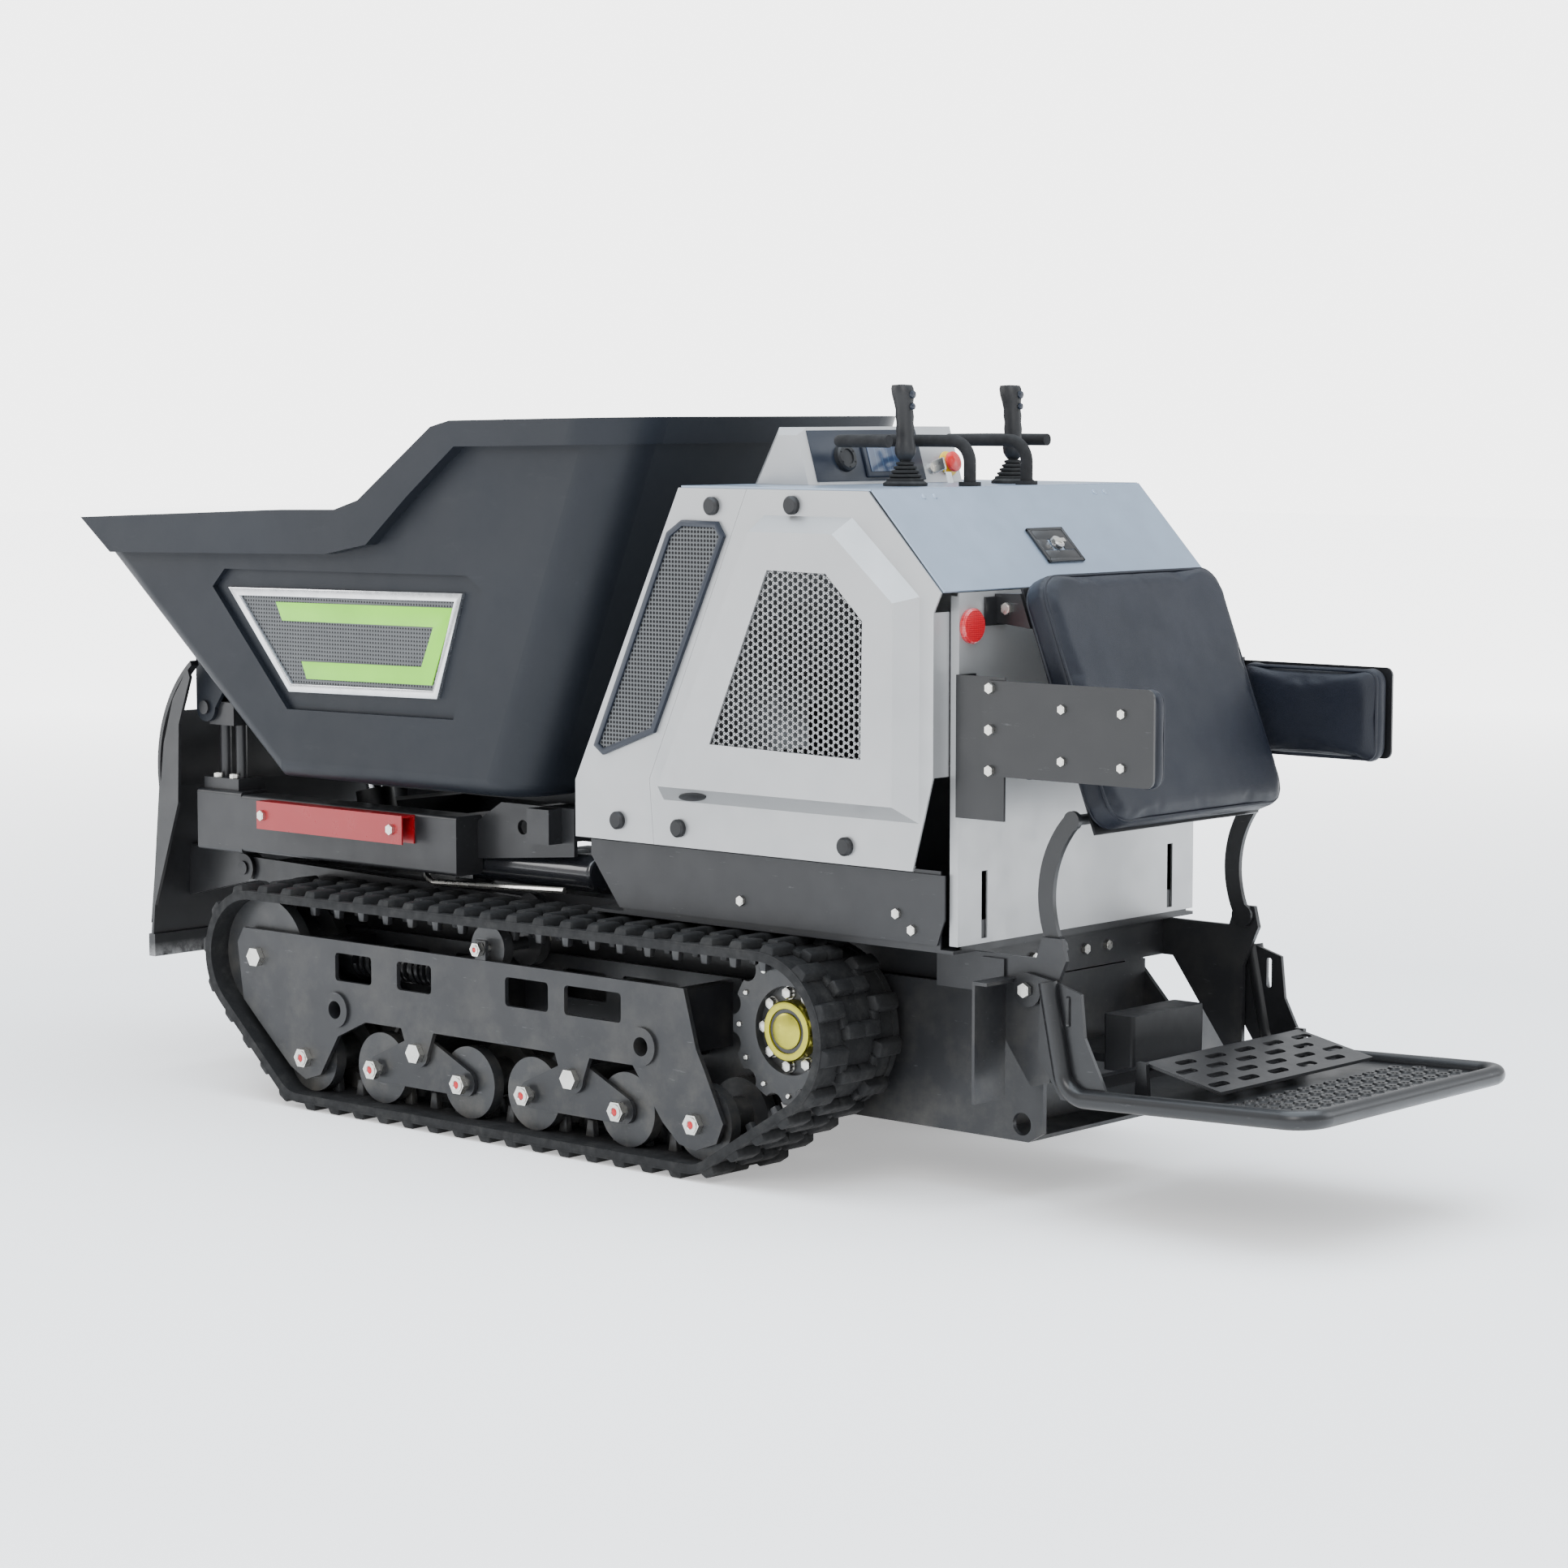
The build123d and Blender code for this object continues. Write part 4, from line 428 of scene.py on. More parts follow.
def plate(shape, outline, low, high, bevel=0.0, holes=()):
    """A flat plate drawn in X and Z between two Y values, or a ring where one hole is given."""
    ring = [shape.verts.new((x, low, z)) for x, z in outline]
    if holes:
        inner = [shape.verts.new((x, low, z)) for x, z in holes]
        loops = [shape.edges.new((a, b)) for loop in (ring, inner) for a, b in zip(loop, loop[1:] + loop[:1])]
        faces = [f for f in bmesh.ops.bridge_loops(shape, edges=loops)["faces"]]
    else:
        faces = [shape.faces.new(ring)]
    grown = bmesh.ops.extrude_face_region(shape, geom=faces)["geom"]
    moved = [item for item in grown if isinstance(item, bmesh.types.BMVert)]
    bmesh.ops.translate(shape, verts=moved, vec=(0, high - low, 0))
    if bevel:
        top = {edge for item in grown if isinstance(item, bmesh.types.BMFace) for edge in item.edges
               if sum(face in grown for face in edge.link_faces) == 1}
        soften(shape, top, bevel)


def shrunk(outline, inset):
    """An outline with every side moved inward by the same amount."""
    points = [Vector(point) for point in outline]
    area = sum(a.x * b.y - b.x * a.y for a, b in zip(points, points[1:] + points[:1]))
    turn = 1 if area > 0 else -1
    result = []
    for before, here, after in zip(points[-1:] + points[:-1], points, points[1:] + points[:1]):
        first, second = (here - before).normalized(), (after - here).normalized()
        inward = [Vector((-side.y, side.x)) * turn for side in (first, second)]
        middle = (inward[0] + inward[1]).normalized()
        result.append(here + middle * (inset / middle.dot(inward[0])))
    return [tuple(point) for point in result]


def rod(shape, points, radius, sides=12, closed=False):
    """A round rod swept through points, made from a curve and merged into the shape."""
    curve = bpy.data.curves.new("rod", "CURVE")
    curve.dimensions = "3D"
    curve.bevel_depth = radius
    curve.bevel_resolution = max(0, sides // 4 - 1)
    curve.use_fill_caps = not closed
    line = curve.splines.new("POLY")
    line.points.add(len(points) - 1)
    for place, point in zip(line.points, points):
        place.co = (*point, 1.0)
    line.use_cyclic_u = closed
    carrier = bpy.data.objects.new("rod", curve)
    bpy.context.scene.collection.objects.link(carrier)
    graph = bpy.context.evaluated_depsgraph_get()
    mesh = bpy.data.meshes.new_from_object(carrier.evaluated_get(graph))
    shape.from_mesh(mesh)
    bpy.data.objects.remove(carrier)
    bpy.data.curves.remove(curve)
    bpy.data.meshes.remove(mesh)


def hexagon(shape, centre, axis, width, height, washer=0.0):
    """A hex bolt head with a domed top and a washer under it."""
    along = Vector(axis).normalized()
    if washer:
        turned(shape, [(0, 0), (washer, 0), (washer, 0.0018), (0, 0.0018)], centre, along, 24)
    turn = along.to_track_quat("Z", "Y").to_matrix().to_4x4()
    foot = Vector(centre) + along * (0.0018 if washer else 0)
    place = Matrix.Translation(foot + along * height / 2) @ turn
    made = bmesh.ops.create_cone(shape, cap_ends=True, segments=6, radius1=width, radius2=width, depth=height,
                                 matrix=place)["verts"]
    top = {e for v in made for e in v.link_edges if all((w.co - foot).dot(along) > height * 0.9 for w in e.verts)}
    soften(shape, top, width * 0.16)


def centre_of(node):
    low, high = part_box(node)
    return (low + high) / 2


# ---------------------------------------------------------------- the belt's path

def belt_wheels(side):
    """Centre x, centre z and path radius of the four wheels that shape the belt."""
    found = []
    for node in (f"track_roller_6_{side}", f"track_roller_1_{side}", f"front_idler_{side}", f"drive_sprocket_{side}"):
        low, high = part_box(node)
        found.append(((low.x + high.x) / 2, (low.z + high.z) / 2, (high.z - low.z) / 2 + HAIR))
    return found


def belt_runs(side):
    """The belt's inner path as arcs and straight runs, each with its length."""
    wheels = belt_wheels(side)
    leaves = []
    for (x0, z0, r0), (x1, z1, r1) in zip(wheels, wheels[1:] + wheels[:1]):
        span = Vector((x1 - x0, z1 - z0))
        sine = (r0 - r1) / span.length
        cosine = math.sqrt(1 - sine * sine)
        along = span.normalized()
        leaves.append(Vector((along.y * cosine + along.x * sine, -along.x * cosine + along.y * sine)))
    runs = []
    for i, (x, z, r) in enumerate(wheels):
        arrive = math.atan2(leaves[i - 1].y, leaves[i - 1].x)
        turn = (math.atan2(leaves[i].y, leaves[i].x) - arrive) % math.tau
        runs.append((r * turn, "arc", (Vector((x, z)), r, arrive)))
        nx, nz, nr = wheels[(i + 1) % len(wheels)]
        start, end = Vector((x, z)) + leaves[i] * r, Vector((nx, nz)) + leaves[i] * nr
        runs.append(((end - start).length, "line", (start, end, leaves[i])))
    return runs


def belt_place(runs, distance):
    """Point on the inner path and the outward direction there."""
    distance %= sum(run[0] for run in runs)
    for length, kind, data in runs:
        if distance <= length:
            break
        distance -= length
    if kind == "arc":
        centre, radius, arrive = data
        angle = arrive + distance / radius
        out = Vector((math.cos(angle), math.sin(angle)))
        return centre + out * radius, out
    start, end, out = data
    return start.lerp(end, distance / length), out


def belt_matrix(runs, distance, y):
    """Local frame on the belt: X along it, Y across, Z outward."""
    point, out = belt_place(runs, distance)
    return Matrix((
        (out.y, 0, out.x, point.x),
        (0, 1, 0, y),
        (-out.x, 0, out.y, point.y),
        (0, 0, 0, 1),
    ))


class DUMPER_OT_finishes(bpy.types.Operator):
    """Make every finish and put one on each CAD node"""
    bl_idname = "dumper.finishes"
    bl_label = "Finishes"

    def execute(self, context):
        FINISHES.update(make_finishes())
        for name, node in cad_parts.items():
            node.data.materials.clear()
            node.data.materials.append(FINISHES[finish_for(name)])
        return {"FINISHED"}


class DUMPER_OT_belts(bpy.types.Operator):
    """Build the rubber belts with staggered lugs and guide pegs"""
    bl_idname = "dumper.belts"
    bl_label = "Track belts"

    def execute(self, context):
        for side, sign in SIDES:
            node = f"track_belt_{side}"
            low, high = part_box(node)
            middle, half = (low.y + high.y) / 2, (high.y - low.y) / 2
            runs = belt_runs(side)
            total = sum(run[0] for run in runs)
            count = round(total / SMALL_PITCH)
            pitch = total / count
            shape = bmesh.new()
            self.band(shape, runs, total, middle, half)
            self.lugs(shape, runs, count, pitch, middle, half)
            piece(f"belt_{side}", shape, "rubber", stands_for=(node,))
            shape = bmesh.new()
            for k in range(count):
                for row in (-1, 1):
                    place = belt_matrix(runs, k * pitch, middle + row * 0.022)
                    block(shape, (0, 0, 0), (0.019, 0.014, 0.028), place @ Matrix.Translation((0, 0, -0.0125))
                          @ Matrix.Rotation(math.pi, 4, "X"), 0.0022, taper=0.66)
            piece(f"belt_pegs_{side}", shape, "wheel")
        return {"FINISHED"}

    def band(self, shape, runs, total, middle, half):
        """Belt carcass: a closed strip given its thickness, with two raised edge ribs."""
        steps = 240
        for low, high, inner, thick in ((-half, half, 0.0, 0.0120), (half - 0.012, half, 0.0118, 0.0030),
                                        (-half, -half + 0.012, 0.0118, 0.0030)):
            verts = []
            for k in range(steps):
                point, out = belt_place(runs, total * k / steps)
                verts.append(shape.verts.new((point.x + out.x * inner, middle + low, point.y + out.y * inner)))
            edges = [shape.edges.new(pair) for pair in zip(verts, verts[1:] + verts[:1])]
            grown = bmesh.ops.extrude_edge_only(shape, edges=edges)["geom"]
            moved = [item for item in grown if isinstance(item, bmesh.types.BMVert)]
            bmesh.ops.translate(shape, verts=moved, vec=(0, high - low, 0))
            faces = [item for item in grown if isinstance(item, bmesh.types.BMFace)]
            shape.normal_update()
            point, out = belt_place(runs, 0.5 * total / steps)
            if faces[0].normal.dot(Vector((out.x, 0, out.y))) > 0:
                bmesh.ops.reverse_faces(shape, faces=faces)
            bmesh.ops.solidify(shape, geom=faces, thickness=thick)

    def lugs(self, shape, runs, count, pitch, middle, half):
        """Tread: outer lugs on the pitch and inner lugs half a pitch on, each tapered."""
        length = sizes().lug_length
        for k in range(count):
            for side in (-1, 1):
                outer = belt_matrix(runs, k * pitch, middle + side * (half - 0.029))
                block(shape, (0, 0, 0), (length, 0.058, 0.0144), outer @ Matrix.Translation((0, 0, 0.0185)), 0.0028,
                      taper=0.72)
                inner = belt_matrix(runs, (k + 0.5) * pitch, middle + side * 0.017)
                block(shape, (0, 0, 0), (length * 0.9, 0.046, 0.0144), inner @ Matrix.Translation((0, 0, 0.0185)),
                      0.0028, taper=0.72)
                bridge = belt_matrix(runs, (k + 0.27) * pitch, middle + side * 0.036)
                block(shape, (0, 0, 0), (0.022, 0.016, 0.0090), bridge @ Matrix.Translation((0, 0, 0.0155)), 0.002,
                      taper=0.8)


class DUMPER_OT_wheels(bpy.types.Operator):
    """Build the hub caps, hub bolts and the painted marks on the axle bolts"""
    bl_idname = "dumper.wheels"
    bl_label = "Hub caps and wheel bolts"

    def execute(self, context):
        for side, sign in SIDES:
            hub = centre_of(f"drive_sprocket_{side}")
            face = Vector((hub.x, sign * 0.310, hub.z))
            axis = (0, sign, 0)
            shape = bmesh.new()
            turned(shape, [(0, 0.0225), (0.024, 0.0225), (0.0275, 0.0205), (0.0285, 0.0165), (0.033, 0.0160),
                           (0.0345, 0.0205), (0.0400, 0.0215), (0.0445, 0.0205), (0.0465, 0.0180), (0.0465, 0.0005),
                           (0, 0.0005)], face, axis, 56)
            piece(f"hub_cap_{side}", shape, "hub", f"sprocket_{side}")
            shape = bmesh.new()
            for k in range(9):
                angle = math.tau * k / 9
                spot = face + Vector((0.057 * math.cos(angle), 0, 0.057 * math.sin(angle)))
                hexagon(shape, spot, axis, 0.0094, 0.0088, washer=0.0105)
            for k in range(12):
                angle = math.tau * k / 12
                spot = face + Vector((0.100 * math.cos(angle), sign * 0.0141, 0.100 * math.sin(angle)))
                turned(shape, [(0, 0.0), (0.0042, 0.0), (0.0042, 0.003), (0.003, 0.004), (0, 0.004)], spot, axis, 12)
            piece(f"hub_bolts_{side}", shape, "zinc", f"sprocket_{side}")
        self.axle_marks()
        return {"FINISHED"}

    def axle_marks(self):
        """Recessed rings and red dabs on the outer axle bolt heads."""
        rings, dabs = bmesh.new(), bmesh.new()
        for side, sign in SIDES:
            wheels = [f"track_roller_{n}_{side}" for n in range(1, 7)] + [f"carrier_roller_{side}"]
            for node in wheels:
                middle = centre_of(node)
                spot = Vector((middle.x, sign * 0.3916, middle.z))
                size = 0.62 if "carrier" in node else 1.0
                turned(rings, [(0.0060 * size, 0), (0.0125 * size, 0), (0.0125 * size, 0.0012), (0.0070 * size, 0.0016),
                               (0.0060 * size, 0)], spot, (0, sign, 0), 28)
                turned(dabs, [(0, 0), (0.0058 * size, 0), (0.0045 * size, 0.0008), (0, 0.001)], spot, (0, sign, 0), 16)
        piece("axle_rings", rings, "zinc")
        piece("axle_marks", dabs, "mark")


POCKET_FACE = 0.325
BADGE = ((0.905, 0.866), (0.330, 0.874), (0.391, 0.703), (0.754, 0.697))
BADGE_FLASH = ((0.788, 0.846), (0.352, 0.851), (0.404, 0.723), (0.712, 0.719), (0.724, 0.748), (0.429, 0.752),
               (0.400, 0.818), (0.772, 0.815))
STRIP = ((-0.129, 0.985), (-0.159, 1.004), (-0.233, 1.003), (-0.248, 0.981), (-0.101, 0.675), (0.010, 0.634),
         (0.030, 0.648))


class DUMPER_OT_badges(bpy.types.Operator):
    """Build the blank badges in the skip's pockets and on the front pillars"""
    bl_idname = "dumper.badges"
    bl_label = "Badges"

    def execute(self, context):
        for side, sign in SIDES:
            face = sign * (POCKET_FACE + HAIR)
            shape = bmesh.new()
            plate(shape, BADGE, face, face + sign * 0.0030)
            piece(f"skip_badge_field_{side}", shape, "mesh", "skip")
            shape = bmesh.new()
            plate(shape, shrunk(BADGE, -0.002), face, face + sign * 0.0075, 0.0022, shrunk(BADGE, 0.0125))
            piece(f"skip_badge_frame_{side}", shape, "frame ring", "skip")
            shape = bmesh.new()
            plate(shape, BADGE_FLASH, face + sign * 0.0028, face + sign * 0.0050, 0.0008)
            piece(f"skip_badge_flash_{side}", shape, "accent", "skip")
            panel = sign * (0.330 + HAIR)
            shape = bmesh.new()
            plate(shape, shrunk(STRIP, 0.008), panel, panel + sign * 0.0030)
            piece(f"pillar_strip_field_{side}", shape, "mesh")
            shape = bmesh.new()
            plate(shape, STRIP, panel, panel + sign * 0.0065, 0.0020, shrunk(STRIP, 0.0095))
            piece(f"pillar_strip_frame_{side}", shape, "gloss trim")
        return {"FINISHED"}


GRILLE = ((-0.3565, 0.934), (-0.4725, 0.932), (-0.5435, 0.865), (-0.5405, 0.662), (-0.2395, 0.667))


class DUMPER_OT_grilles(bpy.types.Operator):
    """Build the side grilles as sheets pierced with hexagonal holes"""
    bl_idname = "dumper.grilles"
    bl_label = "Side grilles"

    def execute(self, context):
        pitch, hole = sizes().hole_pitch, sizes().hole_width / 2
        outline = shrunk(GRILLE, -0.0060)
        for side, sign in SIDES:
            shape = bmesh.new()
            low_x, high_x = min(p[0] for p in outline), max(p[0] for p in outline)
            low_z, high_z = min(p[1] for p in outline), max(p[1] for p in outline)
            cell = pitch / math.sqrt(3)
            columns = int((high_x - low_x) / (1.5 * cell)) + 2
            rows = int((high_z - low_z) / pitch) + 2
            for column in range(columns):
                for row in range(rows):
                    x = low_x + column * 1.5 * cell
                    z = low_z + (row + 0.5 * (column % 2)) * pitch
                    rings = []
                    for radius in (cell, hole):
                        ring = bmesh.ops.create_circle(shape, cap_ends=False, segments=6, radius=radius,
                                                       matrix=Matrix.Translation((x, 0, z))
                                                       @ Matrix.Rotation(math.pi / 2, 4, "X"))["verts"]
                        rings += list({edge for vert in ring for edge in vert.link_edges})
                    bmesh.ops.bridge_loops(shape, edges=rings)
            bmesh.ops.remove_doubles(shape, verts=shape.verts, dist=1e-5)
            for (x0, z0), (x1, z1) in zip(outline, outline[1:] + outline[:1]):
                across = Vector((z1 - z0, 0, x0 - x1))
                if across.dot(Vector((-0.39 - x0, 0, 0.78 - z0))) > 0:
                    across.negate()
                bmesh.ops.bisect_plane(shape, geom=shape.verts[:] + shape.edges[:] + shape.faces[:],
                                       plane_co=(x0, 0, z0), plane_no=across, clear_outer=True)
            bmesh.ops.recalc_face_normals(shape, faces=shape.faces)
            bmesh.ops.solidify(shape, geom=shape.faces[:], thickness=0.0016)
            centre = sum((vert.co.y for vert in shape.verts)) / len(shape.verts)
            bmesh.ops.translate(shape, verts=shape.verts, vec=(0, sign * 0.3552 - centre, 0))
            stands_for = ("side_grilles",) if side == "left" else ()
            piece(f"grille_{side}", shape, "body", stands_for=stands_for)
        return {"FINISHED"}


class DUMPER_OT_springs(bpy.types.Operator):
    """Build the track tensioners' coil springs, rods and cups"""
    bl_idname = "dumper.springs"
    bl_label = "Tensioner springs"

    def execute(self, context):
        low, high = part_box("track_tensioners")
        turns, wire = sizes().spring_turns, sizes().spring_wire
        shape = bmesh.new()
        for side, sign in SIDES:
            middle = Vector((0, sign * 0.310, (low.z + high.z) / 2))
            start, end = low.x + 0.010, high.x - 0.040
            points = []
            for k in range(turns * 14 + 1):
                angle = math.tau * k / 14
                points.append((start + (end - start) * k / (turns * 14), middle.y + 0.021 * math.cos(angle),
                               middle.z + 0.021 * math.sin(angle)))
            rod(shape, points, wire, 8)
            turned(shape, [(0, 0), (0.0295, 0), (0.0295, 0.008), (0.012, 0.008), (0.012, end - low.x), (0.0295, end - low.x),
                           (0.0295, high.x - low.x), (0, high.x - low.x)], (low.x, middle.y, middle.z), (1, 0, 0), 28)
        piece("tensioner_springs", shape, "black", stands_for=("track_tensioners",))
        return {"FINISHED"}


STICK_X, STICK_Y, STICK_Z = -0.434, 0.1315, 1.042


class DUMPER_OT_joysticks(bpy.types.Operator):
    """Build the joystick grips, their thumb switches and bellows boots"""
    bl_idname = "dumper.joysticks"
    bl_label = "Joysticks"

    def execute(self, context):
        for side, sign in SIDES:
            node, y = f"joystick_{side}", sign * STICK_Y
            foot = Vector((STICK_X, y, 0))
            shape = bmesh.new()
            profile = [(0, 1.094), (0.0085, 1.094), (0.0115, 1.098), (0.0150, 1.104), (0.0160, 1.112), (0.0140, 1.121),
                       (0.0128, 1.130), (0.0138, 1.141), (0.0126, 1.151), (0.0138, 1.161), (0.0130, 1.171),
                       (0.0146, 1.183), (0.0166, 1.194), (0.0168, 1.203), (0.0150, 1.2085), (0, 1.2095)]
            turned(shape, profile, foot, (0, 0, 1), 32)
            for vert in shape.verts:
                above = max(0.0, vert.co.z - 1.12)
                vert.co.x = STICK_X + (vert.co.x - STICK_X) * 1.12 + above * above * 0.9
                vert.co.y = y + (vert.co.y - y) * 0.88
            piece(f"grip_{side}", shape, "trim", node, stands_for=(node,))
            shape = bmesh.new()
            turned(shape, [(0, STICK_Z), (0.006, STICK_Z), (0.006, 1.096), (0, 1.096)], foot, (0, 0, 1), 16)
            piece(f"lever_{side}", shape, "zinc", node)
            shape = bmesh.new()
            for lift, reach in ((0.0, 0.006), (-0.018, 0.005)):
                turned(shape, [(0, 0), (reach, 0), (reach, 0.0030), (reach * 0.7, 0.0042), (0, 0.0045)],
                       (STICK_X - 0.0128, y, 1.194 + lift), (-1, 0, 0), 20)
            piece(f"thumb_switch_{side}", shape, "gloss trim", node)
            self.boot(node, side, foot)
        return {"FINISHED"}

    def boot(self, node, side, foot):
        """Rubber bellows from the deck to the lever."""
        shape = bmesh.new()
        profile = [(0.034, 1.0565), (0.034, 1.0605), (0.030, 1.0630)]
        rings = 5
        for k in range(rings):
            wide = 0.0285 - 0.0036 * k
            z = 1.0640 + 0.0062 * k
            profile += [(wide, z), (wide, z + 0.0028), (wide - 0.0062, z + 0.0046)]
        profile += [(0.0085, 1.0965), (0.0070, 1.0965)]
        turned(shape, profile, foot, (0, 0, 1), 40)
        bmesh.ops.recalc_face_normals(shape, faces=shape.faces)
        bmesh.ops.solidify(shape, geom=shape.faces[:], thickness=0.0009)
        made = piece(f"boot_{side}", shape, "rubber", body=None)
        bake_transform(made)


PANEL_FOOT, PANEL_HEAD = Vector((-0.2985, 0, 1.0563)), Vector((-0.2715, 0, 1.144))
PANEL_OUT = Vector((-0.9558, 0, 0.2942))


def on_panel(z, y, off=0.0):
    """A place on the console's sloping rear face."""
    place = PANEL_FOOT.lerp(PANEL_HEAD, (z - PANEL_FOOT.z) / (PANEL_HEAD.z - PANEL_FOOT.z))
    return Vector((place.x, y, z)) + PANEL_OUT * off


def panel_turn():
    """Turns local Z to the panel's normal and local Y up the panel."""
    up = (PANEL_HEAD - PANEL_FOOT).normalized()
    across = up.cross(PANEL_OUT)
    return Matrix((across, up, PANEL_OUT)).transposed().to_4x4()


class DUMPER_OT_console(bpy.types.Operator):
    """Build the console's control face, display, socket, stop button and key tag"""
    bl_idname = "dumper.console"
    bl_label = "Console"

    def execute(self, context):
        turn = panel_turn()
        shape = bmesh.new()
        block(shape, on_panel(1.100, 0.0475, 0.0012), (0.261, 0.082, 0.0018), turn, 0.0008)
        block(shape, on_panel(1.096, 0.012, 0.0035), (0.098, 0.064, 0.0070), turn, 0.0030)
        piece("control_face", shape, "gloss trim")
        shape = bmesh.new()
        block(shape, on_panel(1.096, 0.012, 0.0076), (0.082, 0.048, 0.0014), turn, 0.0005)
        piece("display", shape, "screen")
        shape = bmesh.new()
        for k in range(4):
            turned(shape, [(0, 0), (0.0034, 0), (0.0030, 0.0018), (0, 0.0022)], on_panel(1.072, 0.040 - 0.019 * k, 0.0021),
                   PANEL_OUT, 14)
        piece("menu_keys", shape, "trim")
        shape = bmesh.new()
        turned(shape, [(0, 0.0095), (0.012, 0.0095), (0.0125, 0.0120), (0.0185, 0.0120), (0.0215, 0.0095),
                       (0.0225, 0.0021), (0, 0.0021)], on_panel(1.096, 0.105), PANEL_OUT, 40)
        for k in range(6):
            angle = math.tau * k / 6
            spot = on_panel(1.096 + 0.0165 * math.cos(angle) * 0.9558, 0.105 + 0.0165 * math.sin(angle), 0.0118)
            turned(shape, [(0, 0), (0.0016, 0), (0.0016, 0.0012), (0, 0.0014)], spot, PANEL_OUT, 8)
        piece("socket_cap", shape, "trim")
        shape = bmesh.new()
        turned(shape, [(0.0085, 0.0006), (0.0205, 0.0006), (0.0200, 0.0022), (0.0120, 0.0030), (0.0085, 0.0030),
                       (0.0085, 0.0006)], on_panel(1.085, -0.147), PANEL_OUT, 36)
        piece("stop_collar", shape, "yellow")
        shape = bmesh.new()
        turned(shape, [(0, -0.010), (0.0078, -0.010), (0.0078, 0.0075), (0.0150, 0.0080), (0.0168, 0.0110),
                       (0.0162, 0.0150), (0.0105, 0.0178), (0, 0.0184)], on_panel(1.085, -0.147), PANEL_OUT, 40)
        piece("stop_mushroom", shape, "stop", "stop_button", stands_for=("stop_button",))
        shape = bmesh.new()
        block(shape, on_panel(1.050, -0.105, 0.0300), (0.014, 0.030, 0.0012), turn, 0.0005)
        rod(shape, [on_panel(1.079 - 0.002 * k, -0.105, 0.0245 + 0.0028 * math.sin(k * 0.52)) for k in range(8)], 0.0007, 8)
        piece("key_tag", shape, "tag", "key_switch")
        return {"FINISHED"}


